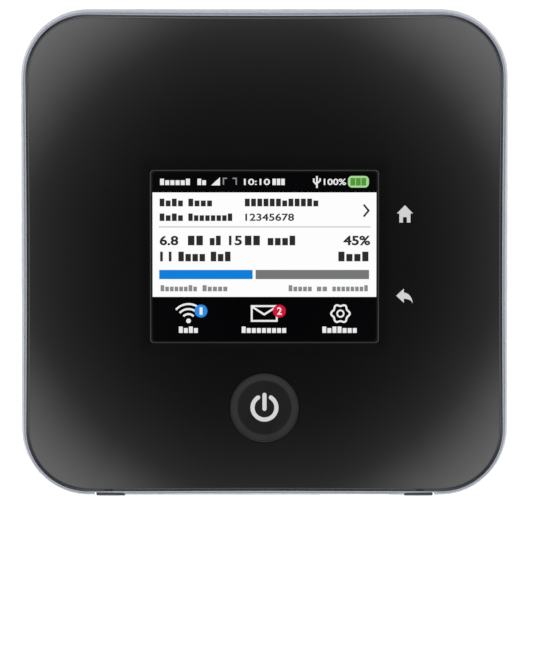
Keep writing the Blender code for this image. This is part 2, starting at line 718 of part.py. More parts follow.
def make_flap(side, x):
    """Rubber flap at rest hanging open, hinged below its socket, and the plug that anchors it in the wall."""
    floor = FRONT + CHANNEL_FLOOR
    back = floor - 0.25
    middle_y, half = back - FLAP_THICK / 2, FLAP_THICK / 2
    tip = FLAP_HINGE_Z - FLAP_LONG
    outline = []
    for side_x, start in ((1, 0), (-1, 90)):
        for step in range(5):
            angle = math.radians(start + 90 * step / 4)
            outline.append((side_x * (FLAP_TIP_WIDE / 2 - FLAP_TIP_RADIUS) + FLAP_TIP_RADIUS * math.cos(angle),
                            tip + FLAP_TIP_RADIUS - FLAP_TIP_RADIUS * math.sin(angle)))
    outline += [(-FLAP_WIDE / 2, FLAP_HINGE_Z), (FLAP_WIDE / 2, FLAP_HINGE_Z)]
    body = inward(moved(outline, x, 0.0), middle_y - half, middle_y + half)
    flap = node(f"{side}_flap", body, RUBBER, origin=(x, middle_y, FLAP_HINGE_Z), smooth=True)
    barrel = circle(half - 0.002, 20, (middle_y, FLAP_HINGE_Z))
    join(flap, helper(f"{side}_flap_barrel", sideways(barrel, x - FLAP_WIDE / 2 + 0.01, x + FLAP_WIDE / 2 - 0.01)))
    plug = block((x - 2.0, x + 2.0), (floor + 0.1, BAND_INSIDE + GAP + 0.6), (FLAP_HINGE_Z - 0.7, FLAP_HINGE_Z + 0.7))
    anchor = node(f"{side}_flap_anchor", plug, RUBBER)
    barb = block((x - 2.8, x + 2.8), (BAND_INSIDE + GAP, BAND_INSIDE + GAP + 0.8),
                 (FLAP_HINGE_Z - 1.1, FLAP_HINGE_Z + 1.1))
    join(anchor, helper(f"{side}_flap_barb", barb))


def band_cuts():
    """Openings through the band for every socket and flap."""
    out, inside = FRONT - THROUGH, BAND_INSIDE + THROUGH
    cuts = [
        helper("usb_a_window", inward(socket_outline(USB_A_X, USB_A_Z, USB_A_WINDOW, 0.9), out, inside)),
        helper("usb_c_window", inward(socket_outline(USB_C_X, USB_C_Z, USB_C_WINDOW, 1.9, 0.0, 6), out, inside)),
        helper("lan_window", inward(socket_outline(LAN_X, LAN_Z, LAN_WINDOW, 0.4, 0.0, 2), out, inside)),
    ]
    for side, sign in SIDES:
        x = sign * AERIAL_X
        half = CHANNEL_WIDE / 2
        channel = block((x - half, x + half), (out, FRONT + CHANNEL_FLOOR), (-THROUGH, CHANNEL_TOP))
        cuts.append(helper(f"{side}_channel", channel))
        hole = turned(((AERIAL_HOLE, out), (AERIAL_HOLE, inside)), (x, AERIAL_Z), "y")
        cuts.append(helper(f"{side}_aerial_hole", hole))
        slot = block((x - 2.0 - FINE_GAP, x + 2.0 + FINE_GAP), (out, inside),
                     (FLAP_HINGE_Z - 0.7 - FINE_GAP, FLAP_HINGE_Z + 0.7 + FINE_GAP))
        cuts.append(helper(f"{side}_anchor_slot", slot))
    return cuts


def frame_cuts():
    """Room for the sockets in the walls of the lower housing and the chassis."""
    out, inside = FRONT - THROUGH, FRONT + 2 * THROUGH
    cuts = [
        helper("usb_a_room", inward(socket_outline(USB_A_X, USB_A_Z, USB_A_SHELL, 0.5, GAP, 1), out, inside)),
        helper("usb_c_room", inward(socket_outline(USB_C_X, USB_C_Z, USB_C_SHELL, 1.6, GAP, 4), out, inside)),
    ]
    wide, high = LAN_SHIELD
    room = block((LAN_X - wide / 2 - GAP, LAN_X + wide / 2 + GAP), (out, BAND_INSIDE + GAP + LAN_DEEP + GAP),
                 (LAN_Z - high / 2 - GAP, LAN_Z + high / 2 + 2 * THROUGH))
    cuts.append(helper("lan_room", room))
    reach = AERIAL_BLOCK / 2 + GAP
    for side, sign in SIDES:
        x = sign * AERIAL_X
        room = block((x - reach, x + reach), (out, FRONT + CHANNEL_FLOOR + 5.6 + AERIAL_BLOCK + GAP),
                     (BOARD_TOP, AERIAL_Z + reach))
        cuts.append(helper(f"{side}_aerial_room", room))
        anchor = block((x - 2.8 - GAP, x + 2.8 + GAP), (out, BAND_INSIDE + GAP + 0.8 + GAP),
                       (FLAP_HINGE_Z - 1.1 - GAP, FLAP_HINGE_Z + 1.1 + GAP))
        cuts.append(helper(f"{side}_anchor_room", anchor))
    return cuts


# Base, board and chassis

def bay_range():
    """The battery bay's (low, high) in X and in Y."""
    half_x, half_y = BATTERY_WIDE / 2 + BAY_SPACE, BATTERY_LONG / 2 + BAY_SPACE
    return (BATTERY_X - half_x, BATTERY_X + half_x), (BATTERY_Y - half_y, BATTERY_Y + half_y)


def clip_places():
    """Middle of each door clip and whether it runs along X."""
    side, back = HALF_X - CLIP_IN, HALF_Y - CLIP_IN
    places = [(sign * side, along, False) for sign in (-1, 1) for along in (-CLIP_ALONG, CLIP_ALONG)]
    return places + [(along, back, True) for along in (-CLIP_ALONG, CLIP_ALONG)]


def clip_block(x, y, along_x, clearance, low, high):
    long, thick = CLIP_LONG / 2 + clearance, CLIP_THICK / 2 + clearance
    reach_x, reach_y = (long, thick) if along_x else (thick, long)
    return block((x - reach_x, x + reach_x), (y - reach_y, y + reach_y), (low, high))


def make_lower_housing(room):
    """Moulded frame: battery bay below the deck, board above it, and a low floor under the sockets."""
    outline = plan(FRAME_INSET)
    housing = node("lower_housing", plate(outline, frame_base, level(RIM_TOP)), DARK_PLASTIC)
    bay_x, bay_y = bay_range()
    below = -THROUGH
    wall_y = bay_y[0] - 1.8
    hollow = [
        helper("board_cavity", upright(plan(FRAME_INSET + FRAME_WALL), DECK_TOP, RIM_TOP + THROUGH)),
        helper("battery_bay", block(bay_x, bay_y, (below, DECK_BASE))),
        helper("socket_zone", block((-29.5, 29.5), (BAND_INSIDE + GAP + FRAME_WALL, wall_y),
                                    (SOCKET_ZONE_FLOOR, DECK_TOP + 1))),
        helper("card_well", block((bay_x[0] - 13.9, bay_x[0] - 2.4), (-26.0, 36.0), (below, DECK_TOP + 1))),
        helper("side_pocket", block((bay_x[1] + 1.6, HALF_X - CLIP_IN - 1.7), (-30.0, 34.0),
                                    (SIDE_POCKET_FLOOR, DECK_TOP + 1))),
        helper("contact_window", block((-5.0, 5.0), (wall_y - 1, bay_y[0] + 1), (CONTACT_Z - 1.3, CONTACT_Z + 1.1))),
    ]
    for index, (x, y, along_x) in enumerate(clip_places()):
        hollow.append(helper(f"clip_pocket_{index + 1}", clip_block(x, y, along_x, 0.35, below, CLIP_TOP + 0.5)))
    for name, sign_x, sign_y in CORNERS:
        middle = (sign_x * SCREW_X, sign_y * SCREW_Y)
        bore = ((SCREW_HEAD_RADIUS + GAP, below), (SCREW_HEAD_RADIUS + GAP, SCREW_HEAD_SEAT),
                (SCREW_RADIUS + GAP, SCREW_HEAD_SEAT), (SCREW_RADIUS + GAP, RIM_TOP + 1))
        hollow.append(helper(f"{name}_screw_bore", turned(bore, middle, steps=16)))
    cut(housing, *hollow, *room)


def make_battery_door():
    """Curved lid over the whole base, with a raised lip, six clips and seats for the feet."""
    outline, inner = plan(DOOR_INSET), plan(FRAME_INSET - GAP)

    def lip_top(x, y):
        return base_seam_z(x, y) + DOOR_LIP

    rings = [raised(shrunk(outline, share), door_z) for share in reversed(RINGS)]
    rings += [raised(outline, door_z), raised(outline, lip_top), raised(inner, lip_top), raised(inner, door_inside)]
    rings += [raised(shrunk(inner, share), door_inside) for share in RINGS]
    door = node("battery_door", loft(rings), GREY_PLASTIC, smooth=True)
    for index, (x, y, along_x) in enumerate(clip_places()):
        clip = clip_block(x, y, along_x, 0.0, door_inside(x, y) - DOOR_WALL / 2, CLIP_TOP)
        join(door, helper(f"clip_{index + 1}", clip))
    for name, sign_x, sign_y in CORNERS:
        x, y = sign_x * FOOT_X, sign_y * FOOT_Y
        seat = door_z(x, y) + FOOT_SUNK
        recess = turned(((FOOT_RADIUS + GAP, -THROUGH), (FOOT_RADIUS + GAP, seat)), (x, y), steps=32)
        cut(door, helper(f"{name}_foot_seat", recess))
        foot = ((FOOT_RADIUS - 0.3, 0.0), (FOOT_RADIUS, 0.3), (FOOT_RADIUS, seat - 0.2))
        node(f"{name}_foot", turned(foot, (x, y), steps=32), RUBBER, smooth=True)


def make_battery():
    outline = rounded(BATTERY_WIDE, BATTERY_LONG, 2.0, 3, (BATTERY_X, BATTERY_Y))
    narrow = rounded(BATTERY_WIDE - 0.8, BATTERY_LONG - 0.8, 1.7, 3, (BATTERY_X, BATTERY_Y))
    edge = 0.4
    rings = [[(x, y, z) for x, y in line] for line, z in
             ((narrow, BATTERY_BASE), (outline, BATTERY_BASE + edge), (outline, BATTERY_TOP - edge),
              (narrow, BATTERY_TOP))]
    node("battery_pack", loft(rings), BATTERY_WRAP)
    wall_y = BATTERY_Y - BATTERY_LONG / 2 - BAY_SPACE - 1.8
    back = wall_y - GAP
    shell = block((-6.0, 6.0), (back - 2.8, back), (CONTACT_Z - 1.9, BOARD_BASE - GAP))
    body = node("battery_connector", shell, DARK_PLASTIC)
    slot = block((-4.8, 4.8), (back - 2.2, back + 1), (CONTACT_Z - 1.0, CONTACT_Z + 1.0))
    cut(body, helper("connector_slot", slot))
    bar = block((-4.5, 4.5), (back - 1.9, back - 1.3), (CONTACT_Z - 0.7, CONTACT_Z + 0.7))
    comb = node("battery_contacts", bar, GOLD)
    for index in range(4):
        x = -3.6 + 2.4 * index
        finger = block((x - 0.5, x + 0.5), (back - 1.6, BATTERY_Y - BATTERY_LONG / 2 - GAP),
                       (CONTACT_Z - 0.3, CONTACT_Z + 0.3))
        join(comb, helper(f"contact_finger_{index + 1}", finger))


def make_main_board():
    """Circuit board with cut-outs for the two sunk sockets, its shield cans, and the card parts below it."""
    board = node("main_board", upright(plan(BOARD_INSET), BOARD_BASE, BOARD_TOP), BOARD_GREEN)
    out = FRONT - THROUGH
    usb_half = USB_A_SHELL[0] / 2 + GAP
    lan_half = LAN_SHIELD[0] / 2 + GAP
    low, high = BOARD_BASE - 1, BOARD_TOP + 1
    cut(board,
        helper("usb_a_board_gap", block((USB_A_X - usb_half, USB_A_X + usb_half),
                                        (out, FRONT + SOCKET_SUNK + USB_A_DEEP + GAP), (low, high))),
        helper("lan_board_gap", block((LAN_X - lan_half, LAN_X + lan_half),
                                      (out, BAND_INSIDE + GAP + LAN_DEEP + GAP), (low, high))))
    for name, sign_x, sign_y in CORNERS:
        middle = (sign_x * SCREW_X, sign_y * SCREW_Y)
        hole = turned(((SCREW_RADIUS + GAP, low), (SCREW_RADIUS + GAP, high)), middle, steps=16)
        cut(board, helper(f"{name}_board_hole", hole))
    cans = (
        ("modem_shield", (-30.0, -4.0), (-24.0, 10.0)),
        ("processor_shield", (2.0, 28.0), (-24.0, 4.0)),
        ("radio_shield", (-30.0, -10.0), (15.0, 36.0)),
    )
    for name, x, y in cans:
        can = node(name, block(x, y, (BOARD_TOP + GAP, BOARD_TOP + SHIELD_HIGH)), TINPLATE)
        inside = block((x[0] + 0.3, x[1] - 0.3), (y[0] + 0.3, y[1] - 0.3), (BOARD_TOP - 1, BOARD_TOP + SHIELD_HIGH - 0.3))
        cut(can, helper(name + "_inside", inside))
    under = BOARD_BASE - GAP
    well = bay_range()[0][0]
    node("sim_socket", block((well - 13.4, well - 3.0), (0.0, 12.5), (under - 1.4, under)), TINPLATE)
    node("memory_card_socket", block((well - 13.5, well - 2.9), (16.0, 30.5), (under - 1.8, under)), TINPLATE)
    middle = (well - 8.0, -14.0)
    switch = block((middle[0] - 2.1, middle[0] + 2.1), (middle[1] - 2.1, middle[1] + 2.1), (under - 1.5, under))
    body = node("reset_switch", switch, TINPLATE)
    bore = turned(((1.2, under - 3), (1.2, under - 0.3)), middle, steps=16)
    cut(body, helper("reset_bore", bore))
    knob = turned(((1.0, under - 2.1), (1.0, under - 0.7)), middle, steps=16)
    node("reset_button", knob, DARK_PLASTIC, smooth=True)


def make_chassis(room, ribbon_y):
    """Cast tray that carries the display and the key board and stands on the board's four corners."""

    def rim(x, y):
        return cover_inside(x, y) - GAP

    outer, inner = plan(FRAME_INSET), plan(FRAME_INSET + CHASSIS_WALL)
    rings = [raised(shrunk(outer, 0.05), level(CHASSIS_BASE)), raised(outer, level(CHASSIS_BASE)), raised(outer, rim),
             raised(inner, rim), raised(inner, level(CHASSIS_TOP)), raised(shrunk(inner, 0.05), level(CHASSIS_TOP))]
    chassis = node("inner_chassis", loft(rings), MAGNESIUM)
    slot = block((-6.0 - GAP, 6.0 + GAP), (ribbon_y - GAP, ribbon_y + 0.3 + GAP), (CHASSIS_BASE - 1, CHASSIS_TOP + 1))
    key_slot = block((-KEY_RIBBON_HALF - GAP, KEY_RIBBON_HALF + GAP),
                     (KEY_RIBBON_Y - GAP, KEY_RIBBON_Y + KEY_RIBBON_THICK + GAP),
                     (CHASSIS_BASE - 1, CHASSIS_TOP + 1))
    for index, (x, y) in enumerate(((-7.0, -28.0), (7.0, -39.0), (-7.0, -39.0), (TOUCH_X + 0.4, 0.0))):
        post = turned(((1.2, CHASSIS_BASE + 0.3), (1.2, KEY_BOARD_BASE - GAP)), (x, y), steps=16)
        join(chassis, helper(f"post_{index + 1}", post))
    for name, sign_x, sign_y in CORNERS:
        middle = (sign_x * SCREW_X, sign_y * SCREW_Y)
        boss = turned(((BOSS_RADIUS, BOARD_TOP + GAP), (BOSS_RADIUS, CHASSIS_BASE + 0.4)), middle, steps=16)
        join(chassis, helper(f"{name}_boss", boss))
        bore = turned(((SCREW_RADIUS + GAP, BOARD_TOP - 1), (SCREW_RADIUS + GAP, SCREW_END + GAP)), middle, steps=16)
        cut(chassis, helper(f"{name}_boss_bore", bore))
        screw = ((SCREW_HEAD_RADIUS, SCREW_HEAD_SEAT - GAP - SCREW_HEAD_HIGH),
                 (SCREW_HEAD_RADIUS, SCREW_HEAD_SEAT - GAP), (SCREW_RADIUS, SCREW_HEAD_SEAT - GAP),
                 (SCREW_RADIUS, SCREW_END))
        node(f"{name}_screw", turned(screw, middle, steps=16), STEEL, smooth=True)
    cut(chassis, helper("ribbon_slot", slot), helper("key_ribbon_slot", key_slot), *room)
    spread_z = (BOARD_TOP + SHIELD_HIGH + GAP, CHASSIS_BASE - GAP)
    node("heat_spreader", block((-31.0, 33.0), (-26.0, 20.0), spread_z), GRAPHITE)


def make_antennas():
    """Printed aerials on the inside of the walls, above the board."""
    face = FRAME_INSET + FRAME_WALL + GAP
    z = (BOARD_TOP + 0.4, RIM_TOP - 0.2)
    for side, sign in SIDES:
        x = sorted((sign * (HALF_X - face), sign * (HALF_X - face - 0.4)))
        node(f"{side}_cellular_antenna", block(x, (-20.0, 24.0), z), POLYIMIDE)
        along = sorted((sign * 8.0, sign * 34.0))
        node(f"{side}_wifi_antenna", block(along, (HALF_Y - face - 0.4, HALF_Y - face), z), POLYIMIDE)


def build():
    room = frame_cuts()
    make_side_band(band_cuts())
    make_top_cover()
    make_display_window()
    make_touch_lenses(KEY_BOARD_TOP)
    switch_top = make_key_board(KEY_BOARD_BASE, KEY_BOARD_TOP)
    make_power_key(switch_top)
    ribbon_y = make_display_module()
    make_usb("usb_a", USB_A_X, USB_A_Z, USB_A_SHELL, 0.5, USB_A_DEEP, (11.1, USB_A_Z + 0.3, USB_A_Z + 2.1, 11.0))
    make_usb("usb_c", USB_C_X, USB_C_Z, USB_C_SHELL, 1.6, USB_C_DEEP, (6.7, USB_C_Z - 0.35, USB_C_Z + 0.35, 7.4))
    make_lan_jack()
    for side, sign in SIDES:
        make_aerial_socket(side, sign * AERIAL_X)
        make_flap(side, sign * AERIAL_X)
    make_lower_housing(room)
    make_battery_door()
    make_battery()
    make_main_board()
    make_chassis(room, ribbon_y)
    make_antennas()


for old in list(bpy.data.objects):
    bpy.data.objects.remove(old, do_unlink=True)
build()
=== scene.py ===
"""The looks of a mobile hotspot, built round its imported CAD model. Lengths are in metres, +Z up;
the display faces +Z and the sockets face -Y. Sections follow the order in which it is put together."""

import math

import bmesh
import bpy
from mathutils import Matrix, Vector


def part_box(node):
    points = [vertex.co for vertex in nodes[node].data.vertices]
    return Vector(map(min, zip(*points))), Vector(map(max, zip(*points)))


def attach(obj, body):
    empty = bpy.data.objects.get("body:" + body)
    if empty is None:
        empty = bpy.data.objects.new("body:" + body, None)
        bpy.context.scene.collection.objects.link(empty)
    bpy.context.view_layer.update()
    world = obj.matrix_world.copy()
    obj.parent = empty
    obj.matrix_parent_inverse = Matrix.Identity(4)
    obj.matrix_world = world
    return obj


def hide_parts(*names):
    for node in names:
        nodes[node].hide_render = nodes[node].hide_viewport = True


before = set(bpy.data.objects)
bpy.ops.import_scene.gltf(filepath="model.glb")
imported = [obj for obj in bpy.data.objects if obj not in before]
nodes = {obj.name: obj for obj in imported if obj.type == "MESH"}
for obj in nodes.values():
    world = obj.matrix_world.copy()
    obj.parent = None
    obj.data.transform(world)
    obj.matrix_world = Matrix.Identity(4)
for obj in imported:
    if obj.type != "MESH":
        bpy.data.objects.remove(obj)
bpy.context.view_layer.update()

mm = 0.001


# --- Side band -----------------------------------------------------------------------------
# A crowned ring moulded in PC/ABS round the whole case. It is sprayed with a blue-grey
# metallic paint and a satin clear coat, and it has the openings for all the sockets.

band_low, band_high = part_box("side_band")
half_x, half_y = band_high.x, band_high.y
corner_radius, cover_inset = 14.5 * mm, 1.5 * mm
seam_x, seam_y = half_x - cover_inset, half_y - cover_inset
edge_top, top_crown, corner_drop, drop_bend, drop_reach = 19.0 * mm, 1.35 * mm, 2.7 * mm, 1.6, 5
edge_base, corner_lift, lift_start, lift_span, lift_reach = 2.0 * mm, 2.2 * mm, 0.2, 0.65, 12
base_strip, base_crown = 1.2 * mm, 0.3 * mm
seam_corner = (corner_radius - cover_inset) * (1 - math.sqrt(0.5))
squareness = 1 / math.log2(1 / (1 - seam_corner / seam_x))
arc_steps, side_steps = 20, 24


def ease(value):
    value = min(max(value, 0.0), 1.0)
    return value * value * (3 - 2 * value)


def spread(x, y):
    """0 at the middle of the plan, 1 on its outline."""
    return (abs(x / seam_x) ** squareness + abs(y / seam_y) ** squareness) ** (1 / squareness)


def slant(x, y):
    """0 towards the middle of a side, 1 towards a corner."""
    low, high = sorted((abs(x / seam_x), abs(y / seam_y)))
    return low / high if high else 0.0


def dome(x, y):
    """1 at the middle of the plan, 0 on its outline."""
    return max(1 - (x / seam_x) ** 4, 0) * max(1 - (y / seam_y) ** 4, 0)


def top_z(x, y):
    """The outer face of the cover: a low dome that falls away towards the corners."""
    fall = corner_drop * ease(slant(x, y) ** drop_bend) * spread(x, y) ** drop_reach
    return edge_top + top_crown * dome(x, y) - fall


def base_seam_z(x, y):
    """The seam between the band and the battery door, lifted at the corners."""
    return edge_base + corner_lift * ease((slant(x, y) - lift_start) / lift_span) * spread(x, y) ** lift_reach


def door_z(x, y):
    return base_seam_z(x, y) - base_strip - base_crown * dome(x, y)


def rounded_plan(reach_x, reach_y, radius, pinch=0.0, middle=(0.0, 0.0), arcs=arc_steps, sides=side_steps):
    """A rounded rectangle, its sides drawn in by pinch at their middles."""
    inwards = ((0, -1), (1, 0), (0, 1), (-1, 0))
    corners = []
    for turn, (side_x, side_y) in enumerate(((1, 1), (-1, 1), (-1, -1), (1, -1))):
        x, y = middle[0] + side_x * (reach_x - radius), middle[1] + side_y * (reach_y - radius)
        angles = [math.radians(90 * (turn + step / arcs)) for step in range(arcs + 1)]
        corners.append([(x + radius * math.cos(a), y + radius * math.sin(a)) for a in angles])
    points = []
    for turn, corner in enumerate(corners):
        points += corner
        (x0, y0), (x1, y1) = corner[-1], corners[(turn + 1) % 4][0]
        for step in range(1, sides):
            share = step / sides
            deep = pinch * (1 - (2 * share - 1) ** 2)
            points.append((x0 + (x1 - x0) * share + inwards[turn][0] * deep,
                           y0 + (y1 - y0) * share + inwards[turn][1] * deep))
    return points


def case_plan(inset, pinch=0.0):
    return rounded_plan(half_x - inset, half_y - inset, corner_radius - inset, pinch)


def deselect():
    bpy.ops.object.select_all(action="DESELECT")


def pulled_shell(name, rings, wrapped=False):
    """A ring of vertices extruded from ring to ring, then capped at both ends or joined end to end."""
    deselect()
    bpy.ops.mesh.primitive_circle_add(vertices=len(rings[0]), radius=mm, fill_type="NOTHING")
    piece = bpy.context.object
    piece.name = piece.data.name = name
    bpy.ops.object.mode_set(mode="EDIT")
    for index, ring in enumerate(rings):
        if index:
            bpy.ops.mesh.extrude_region()
        shape = bmesh.from_edit_mesh(piece.data)
        for vertex, place in zip([v for v in shape.verts if v.select], ring):
            vertex.co = place
    if wrapped:
        bpy.ops.mesh.select_all(action="DESELECT")
        bpy.ops.mesh.select_non_manifold()
        bpy.ops.mesh.bridge_edge_loops()
    bpy.ops.mesh.select_all(action="SELECT")
    bpy.ops.mesh.fill_holes(sides=0)
    bpy.ops.mesh.normals_make_consistent(inside=False)
    bpy.ops.object.mode_set(mode="OBJECT")
    return piece


def smooth(piece, angle=30):
    deselect()
    bpy.context.view_layer.objects.active = piece
    piece.select_set(True)
    bpy.ops.object.shade_smooth_by_angle(angle=math.radians(angle))
    return piece


def carve(piece, cutters, operation="DIFFERENCE"):
    """Cuts the shapes out of the piece, or joins them to it, and keeps its smooth shading."""
    deselect()
    bpy.context.view_layer.objects.active = piece
    for cutter in cutters:
        step = piece.modifiers.new("carve", "BOOLEAN")
        step.operation, step.object, step.solver = operation, cutter, "EXACT"
        bpy.ops.object.modifier_apply(modifier=step.name)
        bpy.data.objects.remove(cutter, do_unlink=True)
    return piece


def linear(code):
    """An sRGB hex colour as linear RGBA."""
    shares = [int(code[at:at + 2], 16) / 255 for at in (1, 3, 5)]
    return (*[s / 12.92 if s <= 0.04045 else ((s + 0.055) / 1.055) ** 2.4 for s in shares], 1.0)


def add_node(material, kind, settings=(), **links):
    """Adds a shader node, sets its fields and sockets by name, and links the sockets named in links."""
    node = material.node_tree.nodes.new("ShaderNode" + kind)
    for name, value in dict(settings).items():
        if name in node.inputs:
            node.inputs[name].default_value = value
        else:
            setattr(node, name, value)
    for name, source in links.items():
        material.node_tree.links.new(source, node.inputs[name.replace("_", " ")])
    return node


def new_material(name, **settings):
    """A Principled material with its fixed values set on the shader's own sockets."""
    material = bpy.data.materials.new(name)
    material.use_nodes = True
    shader = material.node_tree.nodes["Principled BSDF"]
    for socket, value in settings.items():
        shader.inputs[socket.replace("_", " ")].default_value = value
    return material, shader


def grain(material, shader, size, depth, rough=None, detail=2.0):
    """Fine bumps of a real size in metres and, if asked, a roughness that wanders between two values."""
    place = add_node(material, "TexCoord")
    noise = add_node(material, "TexNoise", {"Scale": 1 / size, "Detail": detail},
                     Vector=place.outputs["Object"])
    bump = add_node(material, "Bump", {"Strength": 1.0, "Distance": depth}, Height=noise.outputs["Fac"])
    material.node_tree.links.new(bump.outputs["Normal"], shader.inputs["Normal"])
    if rough:
        broad = add_node(material, "TexNoise", {"Scale": 1 / (size * 25), "Detail": 3.0},
                         Vector=place.outputs["Object"])
        wander = add_node(material, "MapRange", {"From Min": 0.3, "From Max": 0.7, "To Min": rough[0],
                                                 "To Max": rough[1]}, Value=broad.outputs["Fac"])
        material.node_tree.links.new(wander.outputs["Result"], shader.inputs["Roughness"])
    return place


def two_tone(material, shader, place, kind, settings, first, second, output="Fac"):
    """Lets the colour wander between two, as a pattern of the given kind does."""
    pattern = add_node(material, kind, settings, Vector=place.outputs["Object"])
    tone = add_node(material, "MixRGB", {"Color1": linear(first), "Color2": linear(second)},
                    Fac=pattern.outputs[output])
    material.node_tree.links.new(tone.outputs["Color"], shader.inputs["Base Color"])


# Spray-painted PC/ABS: aluminium flakes in blue-grey lacquer. The flakes glint at 0.25 mm, coarser
# than real ones so that they show, and the clear coat over them is smooth.
flake = 0.25 * mm
band_paint, shader = new_material("metallic_lacquer", Metallic=0.85, Coat_Weight=0.5, Coat_Roughness=0.12,
                                  Specular_Tint=linear("#B4B4B8"))
place = grain(band_paint, shader, flake, 0.0004 * mm, (0.26, 0.29))
two_tone(band_paint, shader, place, "TexVoronoi", {"Scale": 1 / flake}, "#797D86", "#82868F", "Distance")


def settle(piece, body, material, replaces=()):
    """Puts a finished piece on its body, with its finish and the CAD nodes it stands for."""
    piece.data.materials.clear()
    piece.data.materials.append(material)
    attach(piece, body)
    if replaces:
        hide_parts(*replaces)


def band_ring(inset, drawn, height):
    """The case's plan at an inset, at the height that a surface has over the seam's plan."""
    return [(x, y, height(a, b)) for (x, y), (a, b) in zip(case_plan(inset, drawn), case_plan(cover_inset))]


widest, top_inset, base_inset, lip, pinch = 0.49, 0.7 * mm, 0.8 * mm, 0.5 * mm, 0.3 * mm
band_wall, top_step, base_step = 2.5 * mm, 1.7 * mm, 1.3 * mm
edge_round, lip_slope, nick = 0.12 * mm, 0.22 * mm, 0.05 * mm
profile_steps, profile_start = 22, 0.02
rings = []
for step in range(profile_steps + 1):
    share = profile_start + (1 - 2 * profile_start) * step / profile_steps
    if share < widest:
        inset, drawn = base_inset * (1 - share / widest) ** 2, 0.0
    else:
        bend = ((share - widest) / (1 - widest)) ** 2
        inset, drawn = top_inset * bend, pinch * bend
    rings.append(band_ring(inset, drawn, lambda a, b, s=share: top_z(a, b) * s
                           + base_seam_z(a, b) * (1 - s)))
seam_inset, base_lip = top_inset + lip, base_inset + lip
for inset, drop in ((top_inset + 0.04 * mm, lip_slope), (top_inset + edge_round, lip_slope - 0.06 * mm),
                    (seam_inset - nick, 0.0), (seam_inset, nick), (seam_inset, top_step)):
    rings.append(band_ring(inset, pinch, lambda a, b, d=drop: top_z(a, b) - d))
rings.append(band_ring(band_wall, 0.0, lambda a, b: top_z(a, b) - top_step))
for inset, rise in ((band_wall, base_step), (base_lip, base_step), (base_lip, nick), (base_lip - nick, 0.0),
                    (base_inset + edge_round, 0.0), (base_inset + 0.02 * mm, 0.1 * mm)):
    rings.append(band_ring(inset, 0.0, lambda a, b, r=rise: base_seam_z(a, b) + r))
band = smooth(pulled_shell("painted_band", rings, wrapped=True), 40)

front = -half_y
usb_a, usb_c, lan = (-21.5 * mm, 9.0 * mm), (0.0, 11.5 * mm), (19.6 * mm, 10.1 * mm)
aerial_x, aerial_z, channel_floor = 33.5 * mm, 13.4 * mm, front + 1.0 * mm
before, behind = 4 * mm, 6 * mm    # how far a cutter stands out of the wall, and reaches in past it


def upright_ring(middle, wide, high, radius, y, arcs=8):
    """A rounded rectangle standing in the XZ plane at y."""
    outline = rounded_plan(wide / 2, high / 2, radius, middle=middle, arcs=arcs, sides=2)
    return [(x, y, z) for x, z in outline]


def flared_cutter(name, middle, wide, high, radius, face, flare=0.25 * mm, arcs=8):
    """Cuts a window through the wall, with a small chamfer where it meets the outer face."""
    return pulled_shell(name, [
        upright_ring(middle, wide + 2 * grow, high + 2 * grow, radius + grow, y, arcs) for grow, y in
        ((flare + before, face - before), (flare, face), (0.0, face + flare), (0.0, face + behind))])


cutters = [
    flared_cutter("usb_a_window", usb_a, 13.8 * mm, 6.7 * mm, 0.9 * mm, front + 0.05 * mm),
    flared_cutter("usb_c_window", usb_c, 9.8 * mm, 3.9 * mm, 1.9 * mm, front + 0.08 * mm, arcs=14),
    flared_cutter("lan_window", lan, 14.7 * mm, 12.1 * mm, 0.5 * mm, front + 0.3 * mm, 0.2 * mm),
]
channel_wide, channel_top, channel_low, hinge_z = 6.9 * mm, 17.75 * mm, band_low.z - before, 8.9 * mm
for sign in (-1, 1):
    x = sign * aerial_x
    middle = (x, (channel_top + channel_low) / 2)
    cutters += [
        pulled_shell(f"channel_{sign}", [
            upright_ring(middle, channel_wide, channel_top - channel_low, 0.6 * mm, y)
            for y in (front - before, channel_floor)]),
        flared_cutter(f"aerial_hole_{sign}", (x, aerial_z), 5.3 * mm, 5.3 * mm, 2.64 * mm, channel_floor,
                      0.12 * mm, 14),
        pulled_shell(f"anchor_slot_{sign}", [upright_ring((x, hinge_z), 4.3 * mm, 1.7 * mm, 0.3 * mm, y)
                                             for y in (front - before, front + behind)])]
smooth(carve(band, cutters), 30)
settle(band, "housing", band_paint, ["side_band"])


# --- Lower housing, battery and boards -----------------------------------------------------
# The moulded frame with its battery bay, the boards, and what is soldered or clipped to them.
# They are the model's own solids, each given the finish of the real part.

def finish(material, *names):
    for name in names:
        nodes[name].material_slots[0].material = material


# Black PC/ABS, moulded in a spark-eroded tool: 0.15 mm grain and a dry half gloss.
black_abs, shader = new_material("moulded_black_abs", Base_Color=linear("#1B1B1D"), Roughness=0.5,
                                 Specular_IOR_Level=0.45)
grain(black_abs, shader, 0.15 * mm, 0.006 * mm, (0.42, 0.56))
finish(black_abs, "lower_housing", "battery_connector", "lan_jack_housing", "power_switch_plunger",
       "reset_button")

# Solder mask over copper: green lacquer with the lines of the tracks under it at 0.8 mm.
solder_mask, shader = new_material("solder_mask", Roughness=0.35, Coat_Weight=0.3)
place = grain(solder_mask, shader, 0.4 * mm, 0.004 * mm, (0.3, 0.42))
tracks = add_node(solder_mask, "TexBrick",
                  {"Scale": 1 / (4 * mm), "Mortar Size": 0.035, "Brick Width": 0.9, "Row Height": 0.2,
                   "Color1": linear("#0E3B24"), "Color2": linear("#124A2D"), "Mortar": linear("#1F6B40")},
                  Vector=place.outputs["Object"])
solder_mask.node_tree.links.new(tracks.outputs["Color"], shader.inputs["Base Color"])
finish(solder_mask, "main_board", "key_board")

